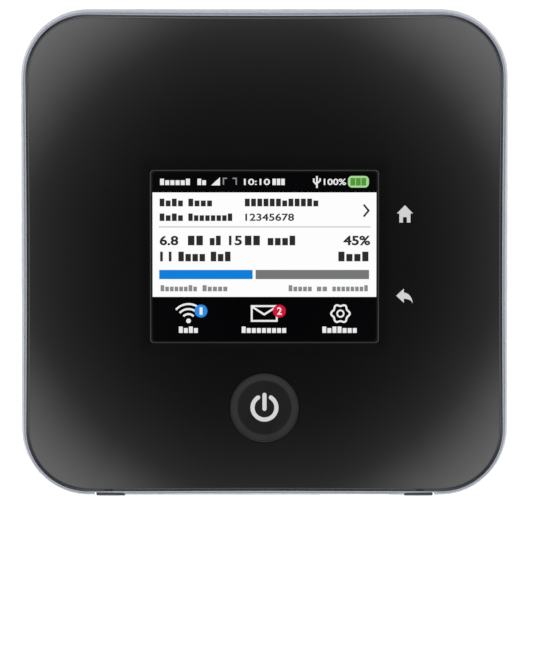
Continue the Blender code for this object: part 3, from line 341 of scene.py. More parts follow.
# Tinned steel sheet: bright, with the fine drawn grain of rolling.
tinplate, shader = new_material("tinned_steel", Metallic=1.0)
place = grain(tinplate, shader, 0.2 * mm, 0.002 * mm, (0.24, 0.36))
two_tone(tinplate, shader, place, "TexNoise", {"Scale": 1 / (5 * mm), "Detail": 3.0}, "#B9BABB", "#D2D3D3")
finish(tinplate, "modem_shield", "processor_shield", "radio_shield", "sim_socket", "memory_card_socket",
       "reset_switch", "power_switch", "lcd_backlight", "lan_jack_shield")

# Graphite film under polyester: dark grey with a sparkle of flakes at 0.3 mm.
graphite, shader = new_material("graphite_film", Base_Color=linear("#34363A"), Metallic=0.4, Coat_Weight=0.2)
grain(graphite, shader, 0.3 * mm, 0.004 * mm, (0.4, 0.6))
finish(graphite, "heat_spreader")

# Pressure die-cast magnesium, shot-blasted: pale grey, matt, with a 0.25 mm pitted skin.
magnesium, shader = new_material("blasted_magnesium", Base_Color=linear("#8F9194"), Metallic=0.9)
grain(magnesium, shader, 0.25 * mm, 0.012 * mm, (0.45, 0.6), 4.0)
finish(magnesium, "inner_chassis")

# Polyimide film over copper: amber and glossy, with copper lines 0.5 mm apart showing through.
wave_bands = 6.3    # a wave pattern at scale 1 has about this many bands in a metre
polyimide, shader = new_material("polyimide_film", Roughness=0.3, Coat_Weight=0.4)
place = grain(polyimide, shader, 0.5 * mm, 0.003 * mm, (0.26, 0.36))
two_tone(polyimide, shader, place, "TexWave", {"Scale": 1 / (0.5 * mm) / wave_bands, "Distortion": 0.0},
         "#8A4A12", "#B5691F")
finish(polyimide, "key_ribbon", "lcd_ribbon", "left_cellular_antenna", "right_cellular_antenna",
       "left_wifi_antenna", "right_wifi_antenna")

# Shrink wrap on the cells: charcoal polyester with a soft gloss and shallow wrinkles 6 mm apart.
shrink_wrap, shader = new_material("charcoal_shrink_wrap", Base_Color=linear("#2B2C2F"))
grain(shrink_wrap, shader, 6 * mm, 0.08 * mm, (0.38, 0.5), 3.0)
finish(shrink_wrap, "battery_pack")

# Hard gold over nickel: yellow and bright, with a trace of the rolled grain at 0.1 mm.
gold_plate, shader = new_material("gold_plate", Metallic=1.0)
place = grain(gold_plate, shader, 0.1 * mm, 0.001 * mm, (0.2, 0.3))
two_tone(gold_plate, shader, place, "TexNoise", {"Scale": 1 / (1.5 * mm)}, "#C79A4B", "#E3BE72")
finish(gold_plate, "battery_contacts")

# Closed-cell foam and elastomer: black, matt, with 0.2 mm pores.
foam, shader = new_material("black_foam", Base_Color=linear("#1A1A1A"))
grain(foam, shader, 0.2 * mm, 0.02 * mm, (0.8, 0.95))
finish(foam, "lcd_gasket")


# --- Case screws ---------------------------------------------------------------------------
# Four pan-head machine screws of zinc-plated steel with a cross recess. They go in from below,
# through the housing and the board, into the bosses of the chassis.

def ring_round(middle, radius, along, axis="z", steps=64):
    """A circle round an upright axis, or round one along Y."""
    turns = [2 * math.pi * step / steps for step in range(steps)]
    if axis == "z":
        return [(middle[0] + radius * math.cos(a), middle[1] + radius * math.sin(a), along) for a in turns]
    return [(middle[0] + radius * math.cos(a), along, middle[1] + radius * math.sin(a)) for a in turns]


def turned(name, profile, middle, axis="z", steps=64, wrapped=False):
    """A lathe shape: profile holds (radius, height) pairs from one end to the other."""
    rings = [ring_round(middle, radius, along, axis, steps) for radius, along in profile]
    return pulled_shell(name, rings, wrapped)


def brick(name, low, high, bevel=0.0, segments=2):
    """A block between two corners, its edges rounded where bevel is given."""
    deselect()
    bpy.ops.mesh.primitive_cube_add(size=1, location=[(a + b) / 2 for a, b in zip(low, high)],
                                    scale=[b - a for a, b in zip(low, high)])
    made = bpy.context.object
    made.name = made.data.name = name
    bpy.ops.object.transform_apply(location=True, rotation=True, scale=True)
    if bevel:
        bpy.ops.object.mode_set(mode="EDIT")
        bpy.ops.mesh.select_all(action="SELECT")
        bpy.ops.mesh.bevel(offset=bevel, segments=segments, affect="EDGES")
        bpy.ops.object.mode_set(mode="OBJECT")
    return made


zinc, shader = new_material("zinc_plated_steel", Base_Color=linear("#A9ABAE"), Metallic=1.0)
grain(zinc, shader, 0.12 * mm, 0.002 * mm, (0.28, 0.42))
head_radius, head_high, shank_radius, pitch = 1.9 * mm, 1.1 * mm, 0.8 * mm, 0.45 * mm
arm, slot_half, slot_deep = 1.05 * mm, 0.21 * mm, 0.75 * mm
case_corners = [f"{side_y}_{side_x}" for side_y in ("front", "back") for side_x in ("left", "right")]
for corner in case_corners:
    name = f"{corner}_screw"
    low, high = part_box(name)
    x, y, seat = (low.x + high.x) / 2, (low.y + high.y) / 2, low.z + head_high
    profile = [(head_radius * share, low.z + rise * mm) for share, rise in
               ((0.55, 0.0), (0.82, 0.1), (0.96, 0.32), (1.0, 0.6))]
    profile += [(head_radius, seat), (shank_radius, seat)]
    turn = seat + 0.8 * mm
    while turn + pitch < high.z - 0.4 * mm:
        profile += [(shank_radius, turn), (shank_radius * 0.8, turn + pitch / 2)]
        turn += pitch
    profile += [(shank_radius, turn), (shank_radius * 0.7, high.z)]
    screw = turned(f"{name}_turned", profile, (x, y), steps=40)
    cross = [brick("slot", (x - reach_x, y - reach_y, low.z - mm),
                   (x + reach_x, y + reach_y, low.z + slot_deep))
             for reach_x, reach_y in ((arm, slot_half), (slot_half, arm))]
    settle(smooth(carve(screw, cross), 35), "housing", zinc, [name])


# --- Battery door and feet -----------------------------------------------------------------
# One curved lid over the whole base, moulded in grey PC/ABS, with a raised lip and six snap
# clips. Four elastomer feet are glued in their seats.

door_inset, door_wall, lip_inset, lip_high = 1.6 * mm, 1.2 * mm, 2.5 * mm, 0.7 * mm
shrink_steps = (0.04, 0.16, 0.3, 0.45, 0.6, 0.73, 0.84, 0.92, 0.97)
door_edge, door_lip_plan = case_plan(door_inset), case_plan(lip_inset)


def set_at(points, height, share=1.0):
    return [(x * share, y * share, height(x * share, y * share)) for x, y in points]


def door_inside(x, y):
    return door_z(x, y) + door_wall


def lip_z(x, y):
    return base_seam_z(x, y) + lip_high


rings = [set_at(door_lip_plan, door_inside, share) for share in shrink_steps]
rings += [set_at(door_lip_plan, door_inside), set_at(door_lip_plan, lip_z), set_at(door_edge, lip_z)]
door_round = ((1.6, 0.6), (1.62, 0.4), (1.7, 0.22), (1.85, 0.08), (2.1, 0.0))    # inset and rise, mm
for inset, rise in door_round:
    rings.append([(x, y, door_z(a, b) + rise * mm)
                  for (x, y), (a, b) in zip(case_plan(inset * mm), door_edge)])
rings += [set_at(door_edge, door_z, share) for share in reversed(shrink_steps)]
door = pulled_shell("grey_battery_door", rings)
clip_along, clip_in, clip_long, clip_thick, clip_top = 22 * mm, 5.65 * mm, 6 * mm, 1.0 * mm, 5.2 * mm
clip_spots = [(sign * (half_x - clip_in), along, clip_thick / 2, clip_long / 2)
              for sign in (-1, 1) for along in (-clip_along, clip_along)]
clip_spots += [(along, half_y - clip_in, clip_long / 2, clip_thick / 2)
               for along in (-clip_along, clip_along)]
additions = [brick("clip", (x - reach_x, y - reach_y, door_inside(x, y) - 0.5 * mm),
                   (x + reach_x, y + reach_y, clip_top), 0.12 * mm) for x, y, reach_x, reach_y in clip_spots]
carve(door, additions, "UNION")
foot_reach, foot_radius, foot_sunk, foot_gap = 34 * mm, 4.5 * mm, 0.35 * mm, 0.2 * mm
cutters = []
for x in (-foot_reach, foot_reach):
    for y in (-foot_reach, foot_reach):
        seat = ((foot_radius + foot_gap, -mm), (foot_radius + foot_gap, door_z(x, y) + foot_sunk))
        cutters.append(turned("foot_seat", seat, (x, y)))
smooth(carve(door, cutters), 30)

# Grey PC/ABS with a spark-eroded skin, 0.2 mm grain.
grey_abs, shader = new_material("moulded_grey_abs", Base_Color=linear("#7D8186"), Roughness=0.42)
grain(grey_abs, shader, 0.2 * mm, 0.006 * mm, (0.36, 0.46))
settle(door, "battery_door", grey_abs, ["battery_door"])

# Elastomer: charcoal, matt and slightly dusty, with a 0.3 mm moulding texture.
elastomer, shader = new_material("charcoal_elastomer", Sheen_Weight=0.15, Sheen_Roughness=0.5)
place = grain(elastomer, shader, 0.3 * mm, 0.008 * mm, (0.55, 0.7))
two_tone(elastomer, shader, place, "TexNoise", {"Scale": 1 / (3 * mm), "Detail": 3.0}, "#1C1D1F", "#242629")
for corner in case_corners:
    name = f"{corner}_foot"
    low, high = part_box(name)
    profile = [(foot_radius - inset * mm, rise * mm) for inset, rise in
               ((2.2, 0.12), (1.2, 0.0), (0.35, 0.0), (0.1, 0.1), (0.0, 0.35))] + [(foot_radius, high.z)]
    pad = smooth(turned(f"{name}_pad", profile, ((low.x + high.x) / 2, (low.y + high.y) / 2)))
    settle(pad, "battery_door", elastomer, [name])


# --- USB sockets ---------------------------------------------------------------------------
# A wide and a small oval socket. Each is a drawn and plated steel shell round a black tongue
# that carries gold contacts. Both are soldered to the board and sunk behind the band.

def drawn_shell(port, middle, radius, arcs=8):
    """A sheet-metal socket shell with a rolled mouth, closed behind. Returns where its mouth is."""
    low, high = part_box(f"{port}_shell")
    near, far, wall = low.y, high.y, 0.35 * mm
    steps = ((0.0, far), (0.0, near + 0.12 * mm), (0.04 * mm, near + 0.03 * mm), (0.12 * mm, near),
             (wall - 0.1 * mm, near), (wall, near + 0.15 * mm), (wall, far - wall))
    shell = pulled_shell(f"{port}_drawn_shell", [
        upright_ring(middle, high.x - low.x - 2 * inset, high.z - low.z - 2 * inset, radius - inset, y, arcs)
        for inset, y in steps])
    settle(smooth(shell, 35), "housing", tinplate, [f"{port}_shell"])
    return near


def tongue(port, body, blade):
    """Joins the blade to the moulding behind it."""
    whole = smooth(carve(body, [blade], "UNION"), 35)
    settle(whole, "housing", black_abs, [f"{port}_tongue"])


def bent_strip(name, stations):
    """A bar bent along Y: each station has its two sides in X, its place in Y and its two sides in Z."""
    return pulled_shell(name, [[(x0, y, z0), (x1, y, z0), (x1, y, z1), (x0, y, z1)]
                               for x0, x1, y, z0, z1 in stations])


def joined(name, pieces):
    """Makes one object of several like pieces."""
    deselect()
    for piece in pieces:
        piece.select_set(True)
    bpy.context.view_layer.objects.active = pieces[0]
    if len(pieces) > 1:
        bpy.ops.object.join()
    pieces[0].name = pieces[0].data.name = name
    return pieces[0]


near = drawn_shell("usb_a", usb_a, 0.6 * mm)
low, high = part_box("usb_a_tongue")
blade_low, blade_high, blade_half = usb_a[1] + 0.3 * mm, usb_a[1] + 2.1 * mm, 5.55 * mm
tongue("usb_a", brick("usb_a_moulding", (low.x, high.y - 2 * mm, low.z), (high.x, high.y, high.z), 0.15 * mm),
       brick("usb_a_blade", (usb_a[0] - blade_half, low.y, blade_low),
             (usb_a[0] + blade_half, high.y - mm, blade_high), 0.25 * mm))
strips = []
for offset in (-3.5, -1.0, 1.0, 3.5):
    x = usb_a[0] + offset * mm
    strips.append(brick("strip", (x - 0.5 * mm, low.y + 0.5 * mm, blade_low - 0.06 * mm),
                        (x + 0.5 * mm, low.y + 7 * mm, blade_low + 0.1 * mm), 0.03 * mm))
settle(joined("usb_a_contacts", strips), "housing", gold_plate)

sheet, finger_half = 0.18 * mm, 0.9 * mm
# How far in from the mouth and how far out of the wall each bend of a finger is, in millimetres.
finger_bow = ((0.9, 0.0), (1.8, 0.32), (3.0, 0.62), (4.2, 0.5), (6.2, 0.0))
fingers = []
for offset in (-3.2, 3.2):
    for side in (-1, 1):
        x, wall_z = usb_a[0] + offset * mm, usb_a[1] + side * 2.55 * mm
        fingers.append(bent_strip("finger", [
            (x - finger_half, x + finger_half, near + along * mm, wall_z - side * (out * mm + sheet),
             wall_z - side * out * mm) for along, out in finger_bow]))
settle(smooth(joined("usb_a_spring_fingers", fingers), 40), "housing", tinplate)

drawn_shell("usb_c", usb_c, 1.55 * mm, arcs=16)
low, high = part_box("usb_c_tongue")
blade_half, blade_thick = 3.35 * mm, 0.35 * mm
tongue("usb_c", pulled_shell("usb_c_moulding", [
    upright_ring(usb_c, high.x - low.x, high.z - low.z, 1.05 * mm, y, 12)
    for y in (high.y - 2 * mm, high.y)]),
       brick("usb_c_blade", (usb_c[0] - blade_half, low.y, usb_c[1] - blade_thick),
             (usb_c[0] + blade_half, high.y - mm, usb_c[1] + blade_thick), 0.12 * mm))
pad_pitch, pad_half, pad_thick = 0.5 * mm, 0.14 * mm, 0.03 * mm
strips = []
for index in range(12):
    x = usb_c[0] + (index - 5.5) * pad_pitch
    for z in (usb_c[1] - blade_thick, usb_c[1] + blade_thick):
        strips.append(brick("pad", (x - pad_half, low.y + 0.35 * mm, z - pad_thick),
                            (x + pad_half, low.y + 3.5 * mm, z + pad_thick)))
settle(joined("usb_c_contacts", strips), "housing", gold_plate)


# --- Network socket ------------------------------------------------------------------------
# An eight-way jack with its latch notch at the bottom: a black housing in a tinned shield, a
# comb of gold-plated spring wires, and a leaf spring on each side that earths the plug.

mouth_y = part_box("lan_jack_housing")[0].y
cavity_top, pitch, wire_half = lan[1] + 4.6 * mm, 1.016 * mm, 0.2 * mm
# How far in from the mouth and how far below the roof each bend of a wire is, in millimetres.
wire_bow = ((1.6, 0.55), (2.2, 0.6), (3.2, 1.15), (5.0, 1.95), (7.2, 2.7), (8.4, 2.85), (9.2, 2.6),
            (11.3, 1.2))
wires = []
for index in range(8):
    x = lan[0] + (index - 3.5) * pitch
    wires.append(bent_strip("wire", [
        (x - wire_half, x + wire_half, mouth_y + along * mm, cavity_top - drop * mm - wire_half,
         cavity_top - drop * mm + wire_half) for along, drop in wire_bow]))
settle(smooth(joined("lan_spring_wires", wires), 40), "housing", gold_plate, ["lan_contacts"])
combs = []
for index in range(9):
    x = lan[0] + (index - 4) * pitch
    combs.append(brick("rib", (x - 0.16 * mm, mouth_y + 0.8 * mm, cavity_top - 1.5 * mm),
                       (x + 0.16 * mm, mouth_y + 3.2 * mm, cavity_top + 0.1 * mm)))
settle(joined("lan_comb_ribs", combs), "housing", black_abs)
leaf_low, leaf_high = lan[1] - 2.0 * mm, lan[1] + 0.3 * mm
leaf_bow = ((0.75, 0.0), (1.0, 0.42), (1.45, 0.72), (2.0, 0.72), (2.5, 0.5), (2.9, 0.3))
leaves = []
for side in (-1, 1):
    wall_x = lan[0] + side * 7.3 * mm
    leaves.append(bent_strip("leaf", [
        (wall_x - side * out * mm, wall_x - side * (out * mm + sheet), front + along * mm,
         leaf_low, leaf_high) for along, out in leaf_bow]))
settle(smooth(joined("lan_earth_leaves", leaves), 40), "housing", tinplate)


# --- Aerial sockets ------------------------------------------------------------------------
# Two small coaxial sockets for outside aerials. A gold barrel, slotted at its mouth, stands in
# a black insulating sleeve, and its centre contact is bored for the plug's pin.

for side, sign in (("left", -1), ("right", 1)):
    middle = (sign * aerial_x, aerial_z)
    near, far, mouth = channel_floor + 0.1 * mm, channel_floor + 3.0 * mm, channel_floor + 0.45 * mm
    profile = [(2.4 * mm, far), (2.4 * mm, near + 0.25 * mm), (2.3 * mm, near + 0.06 * mm), (2.12 * mm, near),
               (1.98 * mm, near + 0.08 * mm), (1.9 * mm, near + 0.35 * mm), (1.9 * mm, far)]
    sleeve = smooth(turned(f"{side}_insulating_sleeve", profile, middle, "y", 72, wrapped=True), 50)
    settle(sleeve, "housing", black_abs, [f"{side}_aerial_sleeve"])
    low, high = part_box(f"{side}_aerial_socket")
    profile = [(1.75 * mm, channel_floor + 6.5 * mm), (1.75 * mm, mouth + 2.2 * mm)]
    profile += [(radius * mm, mouth + deep * mm) for radius, deep in
                ((1.5, 1.9), (1.5, 0.2), (1.4, 0.0), (1.1, 0.0), (0.95, 0.2), (0.95, 4.5))]
    barrel = turned(f"{side}_gold_barrel", profile, middle, "y", 72)
    block = brick("block", (middle[0] - 2.5 * mm, channel_floor + 5.6 * mm, low.z),
                  (middle[0] + 2.5 * mm, high.y, high.z), 0.2 * mm)
    carve(barrel, [block], "UNION")
    slits = []
    for turn in (45, 135):
        bar = brick("slit", (-3 * mm, mouth - mm, -0.13 * mm), (3 * mm, mouth + 1.4 * mm, 0.13 * mm))
        bar.rotation_euler, bar.location = (0.0, math.radians(turn), 0.0), (middle[0], 0.0, middle[1])
        deselect()
        bar.select_set(True)
        bpy.ops.object.transform_apply(location=True, rotation=True, scale=True)
        slits.append(bar)
    settle(smooth(carve(barrel, slits), 40), "housing", gold_plate, [f"{side}_aerial_socket"])
    profile = [(0.5 * mm, channel_floor + 4.7 * mm)]
    profile += [(radius * mm, mouth + deep * mm) for radius, deep in
                ((0.5, 0.5), (0.42, 0.35), (0.3, 0.35), (0.25, 0.5), (0.25, 2.0))]
    contact = smooth(turned(f"{side}_bored_contact", profile, middle, "y", 40), 40)
    settle(contact, "housing", gold_plate, [f"{side}_aerial_contact"])


# --- Socket flaps --------------------------------------------------------------------------
# Elastomer straps that close the aerial sockets. Each turns on a round hinge and hangs open,
# and a barbed plug behind it, moulded with a thin root pad, holds it in the band.

strap_half, strap_tip_half, strap_round, barrel_round = 3.15 * mm, 2.9 * mm, 0.22 * mm, 0.59 * mm


def rounded_end(x, z, half, radius, way, steps):
    """Two rounded corners, at the tip (way 1) or at the hinge (way -1) of a strap."""
    points = []
    for side_x, start in ((way, 90 - 90 * way), (-way, 180 - 90 * way)):
        for step in range(steps + 1):
            angle = math.radians(start + 90 * step / steps)
            points.append((x + side_x * (half - radius) + radius * math.cos(angle),
                           z + way * radius - radius * math.sin(angle)))
    return points


for side, sign in (("left", -1), ("right", 1)):
    x, body = sign * aerial_x, f"{side}_flap"
    low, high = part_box(body)
    rings = []
    for inset, y in ((strap_round, low.y), (strap_round * 0.3, low.y + strap_round * 0.3),
                     (0.0, low.y + strap_round), (0.0, high.y - strap_round),
                     (strap_round * 0.3, high.y - strap_round * 0.3), (strap_round, high.y)):
        outline = rounded_end(x, low.z + inset, strap_tip_half - inset, 1.0 * mm - inset * 0.6, 1, 8)
        outline += rounded_end(x, hinge_z + 0.35 * mm - inset, strap_half - inset, 0.5 * mm, -1, 4)
        rings.append([(a, y, b) for a, b in outline])
    strap = pulled_shell(f"{side}_strap", rings)
    hinge_y = (low.y + high.y) / 2
    turns = [2 * math.pi * step / 40 for step in range(40)]
    barrel = pulled_shell("barrel", [[(x + along, hinge_y + radius * math.cos(turn), hinge_z
                                       + radius * math.sin(turn)) for turn in turns] for along, radius in
                                     ((-strap_half, 0.5 * mm), (-strap_half + 0.1 * mm, barrel_round),
                                      (strap_half - 0.1 * mm, barrel_round), (strap_half, 0.5 * mm))])
    settle(smooth(carve(strap, [barrel], "UNION"), 40), body, elastomer, [body])

    low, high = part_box(f"{side}_flap_anchor")
    plug = brick(f"{side}_barbed_plug", (x - 2 * mm, low.y, hinge_z - 0.7 * mm),
                 (x + 2 * mm, high.y - 0.2 * mm, hinge_z + 0.7 * mm), 0.15 * mm)
    barb = brick("barb", (low.x, high.y - 0.8 * mm, low.z), (high.x, high.y, high.z), 0.25 * mm)
    pad = brick("root_pad", (x - 2.9 * mm, channel_floor - 0.2 * mm, hinge_z + 0.62 * mm),
                (x + 2.9 * mm, channel_floor + 0.2 * mm, aerial_z - 2.72 * mm), 0.08 * mm)
    settle(smooth(carve(plug, [barb], "UNION"), 40), "housing", elastomer, [f"{side}_flap_anchor"])
    settle(smooth(pad, 40), "housing", elastomer)


# --- Top cover -----------------------------------------------------------------------------
# Injection-moulded black polycarbonate, one sweep over the whole top. It is coated with a
# satin lacquer, so it looks soft black from above and pale grey at a low angle.

cover_wall, cover_rings = 1.3 * mm, 26
window_reach, window_y, window_radius = (24.85 * mm, 18.85 * mm), -0.5 * mm, 0.9 * mm
power_y, power_hole_radius = -33.16 * mm, 7.6 * mm
# How far in and how far down each ring of the rebate round the cover is, in millimetres.
rebate = ((1.5, 1.0), (1.52, 0.86), (1.78, 0.84), (1.8, 0.25), (1.83, 0.07), (1.9, 0.0))
outer_plan = case_plan(1.5 * mm, pinch)
window_plan = rounded_plan(*window_reach, window_radius, middle=(0.0, window_y))


def between(share, outline=outer_plan, inner=window_plan):
    return [(a + (c - a) * share, b + (d - b) * share) for (a, b), (c, d) in zip(outline, inner)]


def laid(points, lift=0.0):
    """Plan points laid on the cover's outer face, lifted by lift."""
    return [(x, y, top_z(x, y) + lift) for x, y in points]


rings = [laid(between(share), -cover_wall) for share in (1.0, 0.5, 0.0)]
rings += [laid(case_plan(inset * mm, pinch), -drop * mm) for inset, drop in rebate]
rings += [laid(between(((step + 1) / cover_rings) ** 1.25)) for step in range(cover_rings - 1)]
rings += [laid(window_plan, -0.04 * mm)]
cover = smooth(pulled_shell("lacquered_cover", rings, wrapped=True), 40)
power_hole = turned("power_hole", ((power_hole_radius, 15 * mm), (power_hole_radius, 25 * mm)),
                    (0.0, power_y), steps=160)
smooth(carve(cover, [power_hole]), 30)

# Satin lacquer on polycarbonate: an orange-peel ripple of about 1.2 mm under a broad soft gloss.
cover_lacquer, shader = new_material("satin_black_lacquer", Base_Color=linear("#030303"), Coat_Weight=0.6,
                                     Coat_Roughness=0.12, Specular_IOR_Level=0.8)
grain(cover_lacquer, shader, 1.2 * mm, 0.0004 * mm, (0.11, 0.13))
settle(cover, "housing", cover_lacquer, ["top_cover"])


# --- Display window ------------------------------------------------------------------------
# A pane of black-printed glass bonded flush in the cover, over a foam gasket and the display.
# The lit picture is drawn on it as thin coloured layers, with plain bars where words would be.

window_half, window_high, glass_sunk = 24.72 * mm, 18.72 * mm, 0.05 * mm


def window_ring(inset, height):
    plan = rounded_plan(window_half - inset, window_high - inset, window_radius - 0.1 * mm - inset * 0.5,
                        middle=(0.0, window_y))
    return [(x, y, height(x, y)) for x, y in plan]


def shrunk_window(share, height):
    plan = rounded_plan(window_half, window_high, window_radius)
    return [(x * share, y * share + window_y, height(x * share, y * share + window_y)) for x, y in plan]


def window_under(x, y):
    return top_z(x, y) - cover_wall


def window_face(x, y):
    return top_z(x, y) - glass_sunk


rings = [shrunk_window(share, window_under) for share in (0.04, 0.3, 0.6, 0.9)]
rings.append(window_ring(0.0, window_under))
for inset, drop in ((0.0, 0.15 * mm), (0.04 * mm, 0.08 * mm), (0.12 * mm, glass_sunk)):
    rings.append(window_ring(inset, lambda x, y, d=drop: top_z(x, y) - d))
rings += [shrunk_window(share, window_face) for share in
          (0.97, 0.9, 0.8, 0.7, 0.6, 0.5, 0.4, 0.3, 0.2, 0.1, 0.04)]
pane = smooth(pulled_shell("glass_pane", rings), 40)

# Cover glass printed black on its back: a hard flat gloss that shows faint smears 12 mm wide.
black_glass, shader = new_material("black_printed_glass", Base_Color=linear("#020203"), IOR=1.52)
grain(black_glass, shader, 12 * mm, 0.004 * mm, (0.05, 0.09))
settle(pane, "housing", black_glass, ["display_window"])
finish(black_glass, "lcd_panel")

layer, bedding = 0.012 * mm, 1.4    # a layer's height, and how many layers deep its back is sunk
picture_scale, picture_rise = 0.982, 0.45 * mm


def lay_on_glass(piece, level):
    """Bends a flat piece, made between z = 0 and above, on to the glass as the layer of that number."""
    for vertex in piece.data.vertices:
        x, y, z = vertex.co.x * picture_scale, vertex.co.y * picture_scale + picture_rise, vertex.co.z
        vertex.co = x, y, top_z(x, y) - glass_sunk + layer * (level if z > 0 else level - bedding)
    return piece


def tiles(name, spots):
    """Flat blocks: each spot is its left, right, low and high edge in millimetres."""
    deselect()
    bpy.ops.mesh.primitive_cube_add(size=mm)
    piece = bpy.context.object
    piece.name = piece.data.name = name
    bpy.ops.object.mode_set(mode="EDIT")
    bpy.ops.mesh.delete(type="VERT")
    for left, right, low, high in spots:
        middle = ((left + right) / 2 * mm, (low + high) / 2 * mm, 0.0)
        bpy.ops.mesh.primitive_cube_add(size=mm, location=middle, scale=(right - left, high - low, 1.0))
    bpy.ops.object.mode_set(mode="OBJECT")
    return piece


def word(left, right, low, high, tall=(0, 5)):
    """A row of blocks that stands for a word: its first one and those named in tall reach the top."""
    letter_share, short_share = 0.78, 0.76
    count = max(2, round((right - left) / ((high - low) * letter_share)))
    step = (right - left) / count
    spots = []
    for index in range(count):
        top = high if index in tall else low + (high - low) * short_share
        spots.append((left + index * step, left + (index + letter_share) * step, low, top))
    return spots


def row(low, high, *spans):
    """The words of one line: the left and right edge of each and, where given, its tall letters."""
    return [spot for left, right, *tall in spans for spot in word(left, right, low, high, *tall)]


def strip(left, right, low, high, parts=12):
    """A long bar cut in short lengths so that it bends with the glass."""
    step = (right - left) / parts
    return [(left + index * step, left + (index + 1) * step, low, high) for index in range(parts)]


def panel(name, left, right, low, high, columns=16, rows=8):
    """A thin closed sheet that bends with the glass."""
    deselect()
    bpy.ops.mesh.primitive_grid_add(x_subdivisions=columns, y_subdivisions=rows, size=mm,
                                    location=((left + right) / 2 * mm, (low + high) / 2 * mm, 0.0))
    piece = bpy.context.object
    piece.name = piece.data.name = name
    piece.scale = (right - left, high - low, 1.0)
    bpy.ops.object.transform_apply(location=True, rotation=True, scale=True)
    bpy.ops.object.mode_set(mode="EDIT")
    bpy.ops.mesh.select_all(action="SELECT")
    bpy.ops.mesh.extrude_region_move(TRANSFORM_OT_translate={"value": (0.0, 0.0, mm)})
    bpy.ops.mesh.select_all(action="SELECT")
    bpy.ops.mesh.normals_make_consistent(inside=False)
    bpy.ops.object.mode_set(mode="OBJECT")
    return piece


def digits(text, left, right, low, high, heavy=0.02):
    """Plain numerals fitted between four edges in millimetres, each stroke made wider by heavy."""
    deselect()
    bpy.ops.object.text_add()
    figure = bpy.context.object
    figure.data.body, figure.data.size = text, mm
    figure.data.extrude, figure.data.offset = 0.2 * mm, heavy * mm
    figure.data.resolution_u = 4
    bpy.ops.object.convert(target="MESH")
    figure = bpy.context.object
    bpy.ops.object.mode_set(mode="EDIT")
    bpy.ops.mesh.select_all(action="SELECT")
    bpy.ops.mesh.remove_doubles(threshold=0.0005 * mm)
    bpy.ops.mesh.normals_make_consistent(inside=False)
    bpy.ops.object.mode_set(mode="OBJECT")
    xs, ys = [v.co.x for v in figure.data.vertices], [v.co.y for v in figure.data.vertices]
    for vertex in figure.data.vertices:
        vertex.co.x = (left + (right - left) * (vertex.co.x - min(xs)) / (max(xs) - min(xs))) * mm
        vertex.co.y = (low + (high - low) * (vertex.co.y - min(ys)) / (max(ys) - min(ys))) * mm
    return figure


def stroke(path, wide, closed=False):
    """A flat line of one width along a path in millimetres, with mitred corners."""
    rings = []
    for index, (x, y) in enumerate(path):
        before = path[index - 1] if index or closed else None
        after = path[(index + 1) % len(path)] if index + 1 < len(path) or closed else None
        ways = [math.atan2(b[1] - a[1], b[0] - a[0])
                for a, b in ((before, (x, y)), ((x, y), after)) if a and b]
        turn = (ways[-1] - ways[0] + math.pi) % (2 * math.pi) - math.pi
        way = ways[0] + turn / 2
        half = wide / 2 / max(math.cos(turn / 2), 0.3)
        out_x, out_y = -math.sin(way) * half, math.cos(way) * half
        rings.append([((x + out_x) * mm, (y + out_y) * mm, 0.0), ((x - out_x) * mm, (y - out_y) * mm, 0.0),
                      ((x - out_x) * mm, (y - out_y) * mm, mm), ((x + out_x) * mm, (y + out_y) * mm, mm)])
    return pulled_shell("stroke", rings, wrapped=closed)


def arc(x, y, radius, start, stop, steps=20):
    angles = [math.radians(start + (stop - start) * step / steps) for step in range(steps + 1)]
    return [(x + radius * math.cos(a), y + radius * math.sin(a)) for a in angles]


def cut_out(outline):
    """A flat piece inside an outline in millimetres."""
    return pulled_shell("cut_out", [[(x * mm, y * mm, z) for x, y in outline] for z in (0.0, mm)])


def lit(name, code, strength=1.0):
    """Light from the display through the glass: the colour it shows, with the glass's own gloss."""
    material, shader = new_material(name, Base_Color=linear("#000000"), Roughness=0.07, IOR=1.52,
                                    Emission_Strength=strength)
    place = add_node(material, "TexCoord")
    rows = add_node(material, "TexWave", {"Scale": 1 / (0.12 * mm) / wave_bands, "bands_direction": "Y"},
                    Vector=place.outputs["Object"])
    dim = [share * 0.96 for share in linear(code)[:3]] + [1.0]
    tone = add_node(material, "MixRGB", {"Color1": dim, "Color2": linear(code)}, Fac=rows.outputs["Fac"])
    material.node_tree.links.new(tone.outputs["Color"], shader.inputs["Emission Color"])
    return material


# Each colour of the display is one layer of lit cells, whose rows are drawn at 0.12 mm.
def show(name, pieces, level, material):
    picture = joined(name, pieces)
    settle(lay_on_glass(picture, level), "housing", material)


panel_low, panel_high, panel_half = -9.82, 13.1, 24.55
show("white_panel", [panel("panel", -panel_half, panel_half, panel_low, panel_high)], 1,
     lit("lit_white", "#FFFFFF"))
white_text = lit("lit_white_signs", "#EDEDED")
dark_text = lit("lit_dark_words", "#2C2C2E")
grey_text = lit("lit_grey_words", "#8C8C8C")

